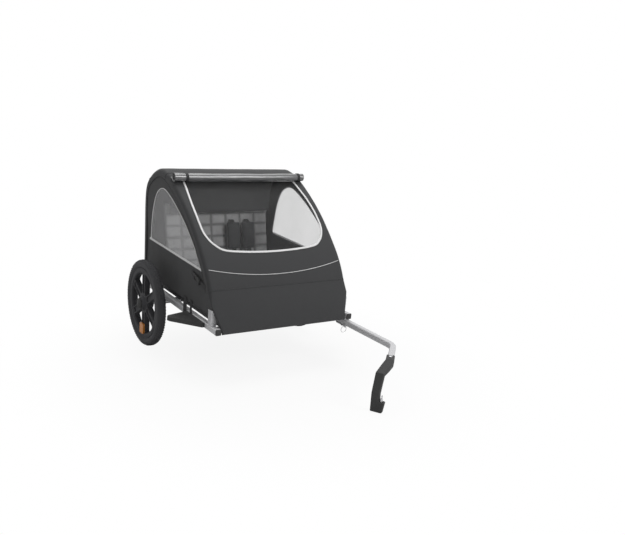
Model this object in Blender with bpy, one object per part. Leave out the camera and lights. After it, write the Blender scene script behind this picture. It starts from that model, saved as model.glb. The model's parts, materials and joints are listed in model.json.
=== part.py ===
"""Two-seat bicycle trailer, free-standing on its wheels and on the coupler of its tow arm.

Every piece is drawn in the body frame: X across the trailer with the tow arm at +X, Y back along the
rails, Z up, and zero on the axle line. The whole body then leans about the axle until the coupler's
foot is as low as the tyres. Metres throughout.
"""
import math

import bmesh
import bpy
from mathutils import Matrix, Vector

# Clearances
GAP = 0.0003
PIN_PLAY = 0.0004
RUNNING = 0.0012

# Rails and cross tubes
TUBE = 0.025
TUBE_WALL = 0.0016
TUBE_CORNER = 0.003
RAIL_OUTER = 0.341
RAIL_LOW = 0.023
RAIL_FRONT = -0.562
RAIL_REAR = 0.228
RAIL_X = RAIL_OUTER - TUBE / 2
RAIL_MID = RAIL_LOW + TUBE / 2
RAIL_TOP = RAIL_LOW + TUBE
FRONT_TUBE_Y = -0.535
REAR_TUBE_Y = 0.195
CAP_LIP = 0.006
CAP_PLUG = 0.018

# Axle and brackets
AXLE_TUBE_R = 0.0125
AXLE_TUBE_BORE = 0.0085
BRACKET_THICK = 0.004
BRACKET_TOP_WIDTH = 0.090
BRACKET_LOW_WIDTH = 0.044
BRACKET_DROP = 0.022
AXLE_R = 0.006
AXLE_SHANK = 0.060

# Wheels
WHEEL_R = 0.200
WHEEL_OUT = 0.074
WHEEL_X = RAIL_OUTER + WHEEL_OUT
TYRE_HALF = 0.022
RIM_HALF = 0.016
BEAD_HALF = 0.0132
TYRE_HIGH = 0.0423
SEAT_R = WHEEL_R - TYRE_HIGH
FLANGE_R = SEAT_R + 0.0053
RIM_INNER_R = SEAT_R - 0.0127
HUB_R = 0.030
HUB_HALF = 0.028
BEARING_R = 0.0125
BEARING_WIDE = 0.009
SPOKES = 6
SPOKE_WIDE = 0.034
SPOKE_HALF_DEEP = 0.0125
HUB_CAP_R = 0.024
WHEEL_STEPS = 36
REFLECTOR_R = RIM_INNER_R - 0.022

# Half of the tyre's section as shares of its half width and of its height above the flange
TYRE_OUTER = [(0.886, 0.176), (1.0, 0.441), (0.886, 0.721), (0.568, 0.916), (0.0, 1.0)]
TYRE_INNER = [(0.795, 0.330), (0.568, 0.721)]

# Wheel guard as (out from the rail, y)
GUARD = [(0.0, -0.466), (0.012, -0.464), (0.105, -0.350), (0.112, -0.332), (0.101, -0.321), (0.0, -0.292)]

# Side profile of the canopy, front foot to rear foot, as (y, z)
PROFILE = [(-0.565, 0.026), (-0.490, 0.190), (-0.447, 0.263), (-0.388, 0.334), (-0.2855, 0.433),
           (-0.184, 0.508), (-0.090, 0.565), (-0.010, 0.598), (0.060, 0.609), (0.125, 0.590),
           (0.190, 0.550), (0.226, 0.505), (0.2375, 0.430), (0.234, 0.300), (0.230, 0.132)]
PROFILE_STEP = 0.055
SEAM, ROOF_SEAM, ROOF_TOP, REAR_SEAM = 1, 7, 8, 10
BODY_HALF = RAIL_OUTER
COVER = 0.0025
WINDOW_SHEET = 0.0008
CLOTH_PLAY = 0.0012
CORNER_LEAST = 0.0032
FOOT_HALF = BODY_HALF - 0.036
DRAW_IN_Z = 0.135
HEM_Z = 0.090
WINDOW_HALF = BODY_HALF - 0.032
WINDOW_LAP = 0.005
LOOP_Y = -0.270
LOOP_WIDE = 0.030
LOOP_THICK = 0.0016
ROLL_R = 0.015
ROLL_HALF = BODY_HALF - 0.006
ROLL_Z = PROFILE[ROOF_SEAM][1] - 0.015

# Window openings: half of the front one as shares of BODY_HALF and of the roof's height, the side one as (y, z)
FRONT_WINDOW = [(0.836, 0.944), (0.880, 0.821), (0.889, 0.706), (0.868, 0.632), (0.768, 0.568), (0.587, 0.535),
                (0.0, 0.5205)]
SIDE_WINDOW = [(0.150, 0.274), (0.138, 0.340), (0.112, 0.430), (0.073, 0.516), (0.020, 0.520), (-0.090, 0.487),
               (-0.2345, 0.413), (-0.328, 0.338), (-0.408, 0.264), (-0.395, 0.258), (-0.150, 0.262)]

# Side arches and the posts that hold their feet
ARCH_R = 0.011
ARCH_WALL = 0.0016
ARCH_INSET = COVER + CLOTH_PLAY + ARCH_R
ARCH_X = BODY_HALF - ARCH_INSET
CORNER = ARCH_INSET
BAR_R = 0.009
FRONT_FOOT_Y = -0.504
FOOT_PIN_Z = 0.102
FOOT_BELOW = 0.010
FOOT_RISE = 0.016
POST_ABOVE = 0.012
PIN_R = 0.003
POST_SHEET = 0.0025

# Tow arm
ARM_WALL = 0.0016
ARM_Z = 0.0035
ARM_PIVOT_Y = -0.525
ARM_BEND_Y = -0.872
ARM_END = (RAIL_X - 0.1035, -0.975)
PIVOT_R = 0.004
LOCK_PIN_Y = ARM_PIVOT_Y - 0.022
RING_R = 0.0144
RING_WIRE = 0.0011

# Coupler: a square sleeve on the arm, then a moulded bar in three bends
COUPLER_SLEEVE = 0.052
COUPLER_SHIN = (-0.070, -0.034, -0.022)
COUPLER_CALF = (-0.016, -0.009, -0.070)
COUPLER_FOOT = (0.006, 0.0035, -0.078)
COUPLER_WIDE = 0.036
COUPLER_DEEP = 0.033
COUPLER_THIN = 0.022
COUPLER_TOE = 0.018
COUPLER_CORNER = 0.003
COUPLER_ACROSS = Vector((0.5, -0.866, 0.0))
BOLT_R = 0.003
BOLT_HEAD = 0.0019
BOLT_NUT = 0.005
HITCH_PIN_R = 0.004
HITCH_PIN_DOWN = 0.026
HITCH_PIN_COLLAR = 0.010

# Seat
SEAT_TOP = 0.185
SEAT_FRONT = -0.250
SEAT_BACK = 0.075
SEAT_HALF = BODY_HALF - 0.049
BACK_TOP = 0.435
BACK_LEAN = 0.085
BACK_THICK = 0.036
BACK_FOOT = 0.72
CROWN = 0.006
PAD_FOOT = 0.165
PAD_LONG = 0.125
PAD_HALF = 0.024
PAD_THICK = 0.014

ROOT = None


def smooth_path(points, step):
    """Points about one step apart on a smooth curve through the given ones."""
    out = []
    last = len(points) - 1
    for i in range(last):
        p0 = Vector(points[max(i - 1, 0)])
        p1 = Vector(points[i])
        p2 = Vector(points[i + 1])
        p3 = Vector(points[min(i + 2, last)])
        count = max(1, round((p2 - p1).length / step))
        for k in range(count):
            t = k / count
            out.append(0.5 * (2 * p1 + (p2 - p0) * t + (2 * p0 - 5 * p1 + 4 * p2 - p3) * t * t
                              + (3 * p1 - p0 - 3 * p2 + p3) * t ** 3))
    out.append(Vector(points[last]))
    return out


def profile_line():
    """Points along the side profile, front foot to rear foot, each with its inward direction."""
    line = smooth_path([(0, y, z) for y, z in PROFILE], PROFILE_STEP)
    spots = []
    for i, p in enumerate(line):
        along = (line[min(i + 1, len(line) - 1)] - line[max(i - 1, 0)]).normalized()
        spots.append((p, Vector((0, along.z, -along.y))))
    return spots


def finish(name, bm, material, parent=None, smooth=35):
    """Makes a named object of a mesh drawn in the body frame, with its origin at its parent."""
    parent = parent or ROOT
    bmesh.ops.remove_doubles(bm, verts=bm.verts, dist=0.000001)
    bmesh.ops.recalc_face_normals(bm, faces=bm.faces)
    bmesh.ops.translate(bm, verts=bm.verts, vec=-Vector(parent["at"]))
    mesh = bpy.data.meshes.new(name)
    bm.to_mesh(mesh)
    bm.free()
    mesh.materials.append(material)
    mesh.shade_smooth()
    mesh.set_sharp_from_angle(angle=math.radians(smooth))
    piece = bpy.data.objects.new(name, mesh)
    bpy.context.scene.collection.objects.link(piece)
    piece.parent = parent
    return piece


def frame(name, at, parent=None):
    """An empty on a joint axis, given in the body frame."""
    empty = bpy.data.objects.new(name, None)
    bpy.context.scene.collection.objects.link(empty)
    empty["at"] = tuple(at)
    empty.empty_display_size = 0.05
    if parent:
        empty.parent = parent
        empty.location = Vector(at) - Vector(parent["at"])
    return empty


def paint(name, colour, roughness, metallic=0.0, alpha=1.0):
    """A plain Principled finish."""
    material = bpy.data.materials.new(name)
    material.use_nodes = True
    shader = material.node_tree.nodes["Principled BSDF"]
    shader.inputs["Base Color"].default_value = (*colour, 1.0)
    shader.inputs["Roughness"].default_value = roughness
    shader.inputs["Metallic"].default_value = metallic
    shader.inputs["Alpha"].default_value = alpha
    return material


def skin(bm, rings, closed=False):
    """Joins rings of equal length side by side and returns their vertices."""
    rows = [[bm.verts.new(p) for p in ring] for ring in rings]
    pairs = list(zip(rows, rows[1:]))
    if closed:
        pairs.append((rows[-1], rows[0]))
    for low, high in pairs:
        for k in range(len(low)):
            n = (k + 1) % len(low)
            bm.faces.new((low[k], low[n], high[n], high[k]))
    return rows


def loft(bm, rings):
    """A solid through rings, capped at both ends."""
    rows = skin(bm, rings)
    bm.faces.new(rows[0])
    bm.faces.new(rows[-1])
    return bm


def pipe(bm, outer, inner):
    """A hollow, open-ended solid between an outer and an inner run of rings."""
    out_rows = skin(bm, outer)
    in_rows = skin(bm, inner)
    for a, b in ((out_rows[0], in_rows[0]), (out_rows[-1], in_rows[-1])):
        for k in range(len(a)):
            n = (k + 1) % len(a)
            bm.faces.new((a[k], a[n], b[n], b[k]))
    return bm


def turned(profile, steps, centre=(0, 0, 0), axis="X"):
    """A ring turned from a closed (along, radius) outline."""
    bm = bmesh.new()
    rings = []
    for i in range(steps):
        a = 2 * math.pi * i / steps
        if axis == "X":
            ring = [Vector((x, r * math.sin(a), -r * math.cos(a))) for x, r in profile]
        elif axis == "Y":
            ring = [Vector((r * math.sin(a), x, r * math.cos(a))) for x, r in profile]
        else:
            ring = [Vector((r * math.sin(a), r * math.cos(a), x)) for x, r in profile]
        rings.append([p + Vector(centre) for p in ring])
    skin(bm, rings, closed=True)
    return bm


def rod(bm, start, end, steps, *stops):
    """A solid shaft: stops are (share of the length, radius), the first at 0 and the last at 1."""
    start, end = Vector(start), Vector(end)
    along = (end - start).normalized()
    side = along.orthogonal().normalized()
    up = along.cross(side)
    rings = []
    for share, radius in stops:
        middle = start.lerp(end, share)
        rings.append([middle + radius * (side * math.cos(a) + up * math.sin(a))
                      for a in (2 * math.pi * k / steps for k in range(steps))])
    return loft(bm, rings)


def square(half, corner):
    """A square section with cut corners, as (a, b) pairs."""
    c = half - corner
    return [(-c, -half), (c, -half), (half, -c), (half, c), (c, half), (-c, half), (-half, c), (-half, -c)]


def sweep_rings(path, section, up):
    """The section carried along a path, mitred at its bends."""
    rings = []
    for i, point in enumerate(path):
        into = (path[i] - path[i - 1]).normalized() if i else (path[1] - path[0]).normalized()
        out = (path[i + 1] - path[i]).normalized() if i < len(path) - 1 else into
        along = (into + out).normalized()
        side = along.cross(up).normalized()
        rise = side.cross(along).normalized()
        stretch = 1 / max(0.5, along.dot(into))
        rings.append([point + side * a * stretch + rise * b for a, b in section])
    return rings


def hollow_square(bm, path, half, corner, wall, up=Vector((0, 0, 1))):
    path = [Vector(p) for p in path]
    outer = sweep_rings(path, square(half, corner), up)
    inner = sweep_rings(path, square(half - wall, max(corner - wall, 0.0006)), up)
    return pipe(bm, outer, inner)


def plate(bm, outline, axis, low, high):
    """A flat plate: a closed outline of pairs, extruded along an axis from low to high."""
    def place(pair, level):
        a, b = pair
        return {"X": Vector((level, a, b)), "Y": Vector((a, level, b)), "Z": Vector((a, b, level))}[axis]
    return loft(bm, [[place(p, low) for p in outline], [place(p, high) for p in outline]])


def round_corners(points, radius, steps=3):
    """A closed outline with each corner turned to an arc."""
    out = []
    for i, point in enumerate(points):
        p = Vector(point)
        a = Vector(points[i - 1]) - p
        b = Vector(points[(i + 1) % len(points)]) - p
        bend = a.angle(b)
        reach = min(radius / math.tan(bend / 2), a.length * 0.45, b.length * 0.45)
        start, end = p + a.normalized() * reach, p + b.normalized() * reach
        for k in range(steps + 1):
            t = k / steps
            out.append(tuple(start * (1 - t) ** 2 + p * 2 * t * (1 - t) + end * t * t))
    return out


def cut(piece, cutter_bm, name):
    """Cuts a solid out of a piece and keeps the cutter as a guide."""
    cutter = finish(name, cutter_bm, piece.data.materials[0], piece.parent)
    cutter.hide_render = True
    cutter.display_type = "WIRE"
    modifier = piece.modifiers.new(name, "BOOLEAN")
    modifier.operation = "DIFFERENCE"
    modifier.solver = "EXACT"
    modifier.object = cutter
    return piece


def coupler_line():
    """The coupler's path, from the end of the arm down to its foot."""
    end = Vector((*ARM_END, ARM_Z))
    bend = Vector((RAIL_X, ARM_BEND_Y, ARM_Z))
    along = (end - bend).normalized()
    knee = end + along * COUPLER_SLEEVE
    hip = knee + Vector(COUPLER_SHIN)
    return along, [end, knee, hip, hip + Vector(COUPLER_CALF), hip + Vector(COUPLER_CALF) + Vector(COUPLER_FOOT)]


def lean():
    """How far the body leans so that the coupler's foot is as low as the tyres."""
    foot = coupler_line()[1][-1]
    reach = math.hypot(foot.y, foot.z)
    return math.asin(WHEEL_R / reach) - math.atan2(-foot.z, -foot.y)


def rails(side, word, silver, black):
    x = RAIL_X * side
    bm = bmesh.new()
    path = [(x, RAIL_FRONT, RAIL_MID), (x, RAIL_REAR, RAIL_MID)]
    finish("side_rail_" + word, hollow_square(bm, path, TUBE / 2, TUBE_CORNER, TUBE_WALL), silver)
    plug = TUBE / 2 - TUBE_WALL - GAP
    for place, end, out in (("front", RAIL_FRONT, -1), ("rear", RAIL_REAR, 1)):
        bm = bmesh.new()
        stops = ((CAP_LIP, TUBE / 2 - 0.002), (CAP_LIP - 0.002, TUBE / 2), (GAP, TUBE / 2),
                 (GAP, plug), (-CAP_PLUG, plug - 0.0006))
        rings = [[Vector((x + a, end + out * depth, RAIL_MID + b)) for a, b in square(half, half * 0.2)]
                 for depth, half in stops]
        finish("rail_cap_" + place + "_" + word, loft(bm, rings), black)


def cross_tube(name, y, steel):
    half = RAIL_X - TUBE / 2 - GAP
    bm = bmesh.new()
    hollow_square(bm, [(-half, y, RAIL_MID), (half, y, RAIL_MID)], TUBE / 2, TUBE_CORNER, TUBE_WALL)
    finish(name, bm, steel)


def axle_parts(side, word, silver, steel):
    """Bracket on the rail's outer face and the stub axle that the wheel runs on."""
    face = RAIL_OUTER + GAP
    top, low = BRACKET_TOP_WIDTH / 2, BRACKET_LOW_WIDTH / 2
    outline = [(-top, RAIL_TOP - 0.003), (top, RAIL_TOP - 0.003), (top, RAIL_LOW - 0.002),
               (low, -BRACKET_DROP), (-low, -BRACKET_DROP), (-top, RAIL_LOW - 0.002)]
    bm = bmesh.new()
    near, far = sorted((face * side, (face + BRACKET_THICK) * side))
    plate(bm, round_corners(outline, 0.008, 2), "X", near, far)
    bracket = finish("axle_bracket_" + word, bm, silver)
    hole = bmesh.new()
    rod(hole, ((face - 0.01) * side, 0, 0), ((face + 0.02) * side, 0, 0), 20,
        (0, AXLE_TUBE_R + GAP), (1, AXLE_TUBE_R + GAP))
    cut(bracket, hole, "bracket_hole_" + word)
    inner = WHEEL_X - HUB_HALF - RUNNING
    outer = WHEEL_X + HUB_HALF + 0.003
    shank = face + BRACKET_THICK + 0.003
    bm = bmesh.new()
    start, end = shank - AXLE_SHANK, outer
    full = end - start
    bore = AXLE_TUBE_BORE - GAP
    rod(bm, (start * side, 0, 0), (end * side, 0, 0), 16, (0, bore - 0.001), (0.001 / full, bore),
        ((shank - start) / full, bore), ((shank + GAP - start) / full, 0.011), ((inner - start) / full, 0.0095),
        ((inner + GAP - start) / full, AXLE_R), ((end - 0.001 - start) / full, AXLE_R), (1, AXLE_R - 0.001))
    finish("stub_axle_" + word, bm, steel)


def axle_tube(steel):
    end = RAIL_OUTER + GAP + BRACKET_THICK + 0.002
    profile = [(-end, AXLE_TUBE_BORE), (-end, AXLE_TUBE_R), (end, AXLE_TUBE_R), (end, AXLE_TUBE_BORE)]
    finish("axle_cross_tube", turned(profile, 20), steel)


def wheel_guard(side, word, black):
    face = RAIL_OUTER + GAP
    low, high = RAIL_LOW + 0.004, RAIL_LOW + 0.022
    shape = [((face + out) * side, y) for out, y in round_corners(GUARD, 0.010, 3)]
    bm = bmesh.new()
    plate(bm, shape, "Z", low, high)
    guard = finish("wheel_guard_" + word, bm, black)
    middle = sum((Vector(p) for p in shape), Vector((0, 0))) / len(shape)
    pocket = bmesh.new()
    plate(pocket, [tuple(middle + (Vector(p) - middle) * 0.84) for p in shape], "Z", low - 0.01, high - 0.003)
    cut(guard, pocket, "guard_pocket_" + word)


def wheel(side, word, level, paints):
    """One wheel: everything here turns about the stub axle."""
    spin = frame("wheel_axis_" + word, (WHEEL_X * side, 0, 0), level)
    centre = (WHEEL_X * side, 0, 0)
    low = FLANGE_R + RUNNING
    outer, inner = [[(TYRE_HALF * a, low + (WHEEL_R - low) * b) for a, b in half]
                    for half in (TYRE_OUTER, TYRE_INNER)]
    foot = [(BEAD_HALF, low), (BEAD_HALF, SEAT_R + GAP), (BEAD_HALF - 0.0034, SEAT_R + GAP)]
    near = outer[-2::-1] + foot + inner
    tyre = [(-x, r) for x, r in reversed(near)] + [outer[-1]] + near
    finish("tyre_" + word, turned(tyre, WHEEL_STEPS, centre), paints["rubber"], spin, 50)

    bead, well = BEAD_HALF + PIN_PLAY, (SEAT_R + RIM_INNER_R) / 2
    body = [(-RIM_HALF, FLANGE_R), (-bead, FLANGE_R), (-bead, SEAT_R), (-0.0085, SEAT_R),
            (-0.006, well), (0.006, well), (0.0085, SEAT_R), (bead, SEAT_R), (bead, FLANGE_R),
            (RIM_HALF, FLANGE_R), (RIM_HALF, RIM_INNER_R), (SPOKE_HALF_DEEP, RIM_INNER_R - 0.002),
            (SPOKE_HALF_DEEP, HUB_R + 0.006), (HUB_HALF - 0.004, HUB_R), (HUB_HALF, HUB_R - 0.003),
            (HUB_HALF, BEARING_R + GAP), (-HUB_HALF, BEARING_R + GAP),
            (-HUB_HALF, HUB_R - 0.003), (-HUB_HALF + 0.004, HUB_R), (-SPOKE_HALF_DEEP, HUB_R + 0.006),
            (-SPOKE_HALF_DEEP, RIM_INNER_R - 0.002), (-RIM_HALF, RIM_INNER_R)]
    mag = finish("mag_wheel_" + word, turned(body, WHEEL_STEPS, centre), paints["moulded"], spin)
    windows, pockets = bmesh.new(), bmesh.new()
    for k in range(SPOKES):
        spoke = Matrix.Rotation(2 * math.pi * k / SPOKES, 4, "X")
        between = Matrix.Rotation(2 * math.pi * (k + 0.5) / SPOKES, 4, "X")
        add_block(windows, window_outline(), (-0.05, 0.05), between, centre)
        for face in (-1, 1):
            levels = sorted((face * (SPOKE_HALF_DEEP - 0.006), face * 0.04))
            add_block(pockets, tray_outline(), levels, spoke, centre)
    cut(mag, windows, "wheel_windows_" + word)
    cut(mag, pockets, "spoke_pockets_" + word)

    waist = BEARING_R - 0.002
    race = [(-HUB_HALF, AXLE_R + PIN_PLAY), (HUB_HALF, AXLE_R + PIN_PLAY), (HUB_HALF, BEARING_R),
            (HUB_HALF - BEARING_WIDE, BEARING_R), (HUB_HALF - BEARING_WIDE, waist),
            (BEARING_WIDE - HUB_HALF, waist), (BEARING_WIDE - HUB_HALF, BEARING_R), (-HUB_HALF, BEARING_R)]
    finish("hub_bearing_" + word, turned(race, 16, centre), paints["steel"], spin)
    start = HUB_HALF + GAP
    dome = [(start + 0.012, HUB_CAP_R * 0.35), (start + 0.009, HUB_CAP_R * 0.8), (start + 0.004, HUB_CAP_R),
            (start, HUB_CAP_R), (start, HUB_CAP_R - 0.003), (start + 0.002, HUB_CAP_R - 0.003),
            (start + 0.007, HUB_CAP_R * 0.7), (start + 0.010, HUB_CAP_R * 0.30)]
    cap = bmesh.new()
    rings = [[Vector(((WHEEL_X + x) * side, r * math.sin(a), r * math.cos(a)))
              for a in (2 * math.pi * k / 20 for k in range(20))] for x, r in dome]
    finish("hub_cap_" + word, loft(cap, rings), paints["black"], spin)
    outline = [(-0.009, -REFLECTOR_R - 0.016), (0.009, -REFLECTOR_R - 0.016), (0.009, -REFLECTOR_R + 0.020),
               (-0.009, -REFLECTOR_R + 0.020)]
    near, far = sorted(((WHEEL_X + SPOKE_HALF_DEEP + GAP) * side, (WHEEL_X + SPOKE_HALF_DEEP + 0.009) * side))
    lens = bmesh.new()
    plate(lens, round_corners(outline, 0.003, 2), "X", near, far)
    finish("spoke_reflector_" + word, lens, paints["amber"], spin)


def window_outline():
    """The opening between two spokes, about its own middle line, as (across, out) pairs."""
    turn, half = math.pi / SPOKES, SPOKE_WIDE / 2
    far = RIM_INNER_R - 0.004
    side = []
    for r in (HUB_R + 0.012, math.sqrt(far * far - half * half)):
        side.append((r * math.sin(turn) - half * math.cos(turn), r * math.cos(turn) + half * math.sin(turn)))
    reach = math.asin(side[1][0] / far)
    arc = [(far * math.sin(a), far * math.cos(a)) for a in (-reach / 2, 0, reach / 2)]
    outline = [(-side[0][0], side[0][1]), (-side[1][0], side[1][1]), *arc, side[1], side[0]]
    return round_corners(outline, 0.008, 2)


def tray_outline():
    """The hollow in one face of a spoke, inside its edge ridges."""
    half = SPOKE_WIDE / 2 - 0.0045
    low, high = HUB_R + 0.016, RIM_INNER_R - 0.012
    return round_corners([(-half, low), (half, low), (half, high), (-half, high)], 0.005, 1)


def add_block(target, outline, levels, turn, centre):
    """Adds an upright block, turned about the wheel's axis, to a set of cutters."""
    shape = plate(bmesh.new(), outline, "X", *levels)
    bmesh.ops.transform(shape, matrix=Matrix.Translation(centre) @ turn, verts=shape.verts)
    merge(target, shape)


def merge(target, source):
    """Adds one mesh to another and frees it."""
    mesh = bpy.data.meshes.new("part")
    source.to_mesh(mesh)
    source.free()
    target.from_mesh(mesh)
    bpy.data.meshes.remove(mesh)


def arch_path(side):
    """The hoop's centre line in its own upright plane, front foot to rear foot."""
    line = [p + inward * ARCH_INSET for p, inward in profile_line()]
    front, rear = [[Vector((0, y, FOOT_PIN_Z - FOOT_BELOW)), Vector((0, y, FOOT_PIN_Z + FOOT_RISE))]
                   for y in (FRONT_FOOT_Y, line[-1].y)]
    points = front + [p for p in line if p.z > FOOT_PIN_Z + 0.045] + rear[::-1]
    return [Vector((ARCH_X * side, p.y, p.z)) for p in points]


def round_section(radius, count):
    return [(radius * math.cos(a), radius * math.sin(a)) for a in (2 * math.pi * k / count for k in range(count))]


def arch(side, word, silver):
    path = arch_path(side)
    across = Vector((1, 0, 0))
    bm = bmesh.new()
    outer = sweep_rings(path, round_section(ARCH_R, 8), across)
    inner = sweep_rings(path, round_section(ARCH_R - ARCH_WALL, 8), across)
    piece = finish("side_arch_" + word, pipe(bm, outer, inner), silver)
    for place, y in (("front", path[0].y), ("rear", path[-1].y)):
        hole = bmesh.new()
        radius = PIN_R + PIN_PLAY
        rod(hole, (ARCH_X * side, y - 0.03, FOOT_PIN_Z), (ARCH_X * side, y + 0.03, FOOT_PIN_Z), 12,
            (0, radius), (1, radius))
        cut(piece, hole, "arch_hole_" + place + "_" + word)
    return path


def post(side, word, place, y, silver, steel):
    """A channel on the rail, open inward, that holds one foot of an arch, and the pin through both."""
    slot = ARCH_R + RUNNING
    back = RAIL_OUTER - GAP
    web = back - POST_SHEET
    front = ARCH_X - ARCH_R
    top = FOOT_PIN_Z + POST_ABOVE
    low = RAIL_TOP + GAP
    outline = [(front, -slot - POST_SHEET), (back, -slot - POST_SHEET), (back, slot + POST_SHEET),
               (front, slot + POST_SHEET), (front, slot), (web, slot), (web, -slot), (front, -slot)]
    bm = bmesh.new()
    plate(bm, [(x * side, y + d) for x, d in outline], "Z", low, top)
    channel = finish("arch_post_" + place + "_" + word, bm, silver)
    hole = bmesh.new()
    rod(hole, (ARCH_X * side, y - 0.04, FOOT_PIN_Z), (ARCH_X * side, y + 0.04, FOOT_PIN_Z), 12,
        (0, PIN_R + GAP), (1, PIN_R + GAP))
    cut(channel, hole, "post_hole_" + place + "_" + word)
    end = slot + POST_SHEET + GAP
    full = 2 * (end + 0.004)
    head = 0.004 / full
    bm = bmesh.new()
    rod(bm, (ARCH_X * side, y - end - 0.004, FOOT_PIN_Z), (ARCH_X * side, y + end + 0.004, FOOT_PIN_Z), 12,
        (0, 0.0052), (head, 0.0060), (head + 0.0001, PIN_R), (1 - head - 0.0001, PIN_R), (1 - head, 0.0060),
        (1, 0.0052))
    finish("arch_pin_" + place + "_" + word, bm, steel)


def crossbar(silver):
    """The round bar between the tops of the two arches, close under the roof cover."""
    y, z = PROFILE[ROOF_TOP][0], PROFILE[ROOF_TOP][1] - COVER - BAR_R * 1.1
    end = ARCH_X - ARCH_R - GAP
    path = [Vector((-end, y, z)), Vector((end, y, z))]
    rings = [sweep_rings(path, round_section(r, 12), Vector((0, 0, 1))) for r in (BAR_R, BAR_R - ARCH_WALL)]
    finish("roof_crossbar", pipe(bmesh.new(), *rings), silver)


def tow_arm(swing, paints):
    """Bracket under the left rail, the bent arm and what fastens it."""
    half = TUBE / 2
    top_face = ARM_Z + half
    low_face = ARM_Z - half
    near, far = RAIL_X - half - 0.001, RAIL_X + half - 0.001
    back = ARM_PIVOT_Y + 0.032
    tip = ARM_PIVOT_Y - 0.032
    high = RAIL_LOW - GAP
    low = low_face - RUNNING - 0.003
    outline = [(tip, high), (back, high), (back, low), (tip, low), (tip, low_face - RUNNING),
               (back - 0.003, low_face - RUNNING), (back - 0.003, top_face + RUNNING), (tip, top_face + RUNNING)]
    bm = bmesh.new()
    plate(bm, outline, "X", near, far)
    bracket = finish("tow_arm_bracket", bm, paints["silver"])
    hole = bmesh.new()
    rod(hole, (RAIL_X, ARM_PIVOT_Y, low - 0.01), (RAIL_X, ARM_PIVOT_Y, high - 0.0012), 16,
        (0, PIVOT_R + GAP), (1, PIVOT_R + GAP))
    cut(bracket, hole, "bracket_pivot_hole")
    pin_y = LOCK_PIN_Y
    hole = bmesh.new()
    rod(hole, (RAIL_X, pin_y, low - 0.01), (RAIL_X, pin_y, low + 0.01), 12, (0, PIN_R + GAP), (1, PIN_R + GAP))
    cut(bracket, hole, "bracket_lock_hole")

    bolt = bmesh.new()
    foot = low - GAP - 0.006
    end = high - 0.0016
    full = end - foot
    rod(bolt, (RAIL_X, ARM_PIVOT_Y, foot), (RAIL_X, ARM_PIVOT_Y, end), 12, (0, 0.0065), (0.0012 / full, 0.0075),
        (0.0060 / full, 0.0075), (0.0061 / full, PIVOT_R), (1, PIVOT_R))
    finish("tow_arm_pivot_bolt", bolt, paints["black"])

    bend = Vector((RAIL_X, ARM_BEND_Y, ARM_Z))
    end = Vector((*ARM_END, ARM_Z))
    along = (end - bend).normalized()
    curve = 0.030
    path = [Vector((RAIL_X, ARM_PIVOT_Y + 0.022, ARM_Z))]
    start, stop = bend + Vector((0, curve, 0)), bend + along * curve
    path += [start * (1 - t) ** 2 + bend * 2 * t * (1 - t) + stop * t * t for t in (0, 0.33, 0.67, 1)]
    path.append(end + along * (COUPLER_SLEEVE * 0.8))
    bm = bmesh.new()
    arm = finish("tow_arm", hollow_square(bm, path, half, TUBE_CORNER, ARM_WALL), paints["silver"], swing)
    hole = bmesh.new()
    rod(hole, (RAIL_X, ARM_PIVOT_Y, low_face - 0.01), (RAIL_X, ARM_PIVOT_Y, top_face + 0.01), 16,
        (0, PIVOT_R + PIN_PLAY), (1, PIVOT_R + PIN_PLAY))
    cut(arm, hole, "arm_pivot_hole")
    hole = bmesh.new()
    middle = end + along * (COUPLER_SLEEVE * 0.42)
    bore = BOLT_R + PIN_PLAY
    rod(hole, middle - Vector((0, 0, 0.03)), middle + Vector((0, 0, 0.03)), 12, (0, bore), (1, bore))
    cut(arm, hole, "arm_coupler_hole")
    return along, middle


def lock_pin(slide, paints):
    """The arm's lock pin in the bracket's lower plate, with its pull ring."""
    low = ARM_Z - TUBE / 2 - RUNNING - 0.003
    x, y = RAIL_X, LOCK_PIN_Y
    foot, end = low - 0.009, low + 0.0034
    full = end - foot
    pin = bmesh.new()
    rod(pin, (x, y, foot), (x, y, end), 12, (0, 0.0044), (0.001 / full, 0.0052), (0.0080 / full, 0.0052),
        (0.0081 / full, PIN_R), (1, PIN_R))
    body = finish("lock_pin", pin, paints["steel"], slide)
    centre = (x - 0.55 * RING_R, y, foot + 0.0035 - 0.83 * RING_R)
    weld(body, wire_ring(centre, RING_R, "Y"), "lock_pin_ring")


def wire_ring(centre, radius, axis):
    """A closed ring of round wire."""
    profile = [(RING_WIRE * math.cos(a), radius + RING_WIRE * math.sin(a))
               for a in (2 * math.pi * k / 6 for k in range(6))]
    return turned(profile, 18, centre, axis)


def weld(piece, other_bm, name):
    """Joins another closed shape to a piece, as one body."""
    other = finish(name, other_bm, piece.data.materials[0], piece.parent)
    other.hide_render = True
    other.display_type = "WIRE"
    modifier = piece.modifiers.new(name, "BOOLEAN")
    modifier.operation = "UNION"
    modifier.solver = "EXACT"
    modifier.object = other
    return piece


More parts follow.
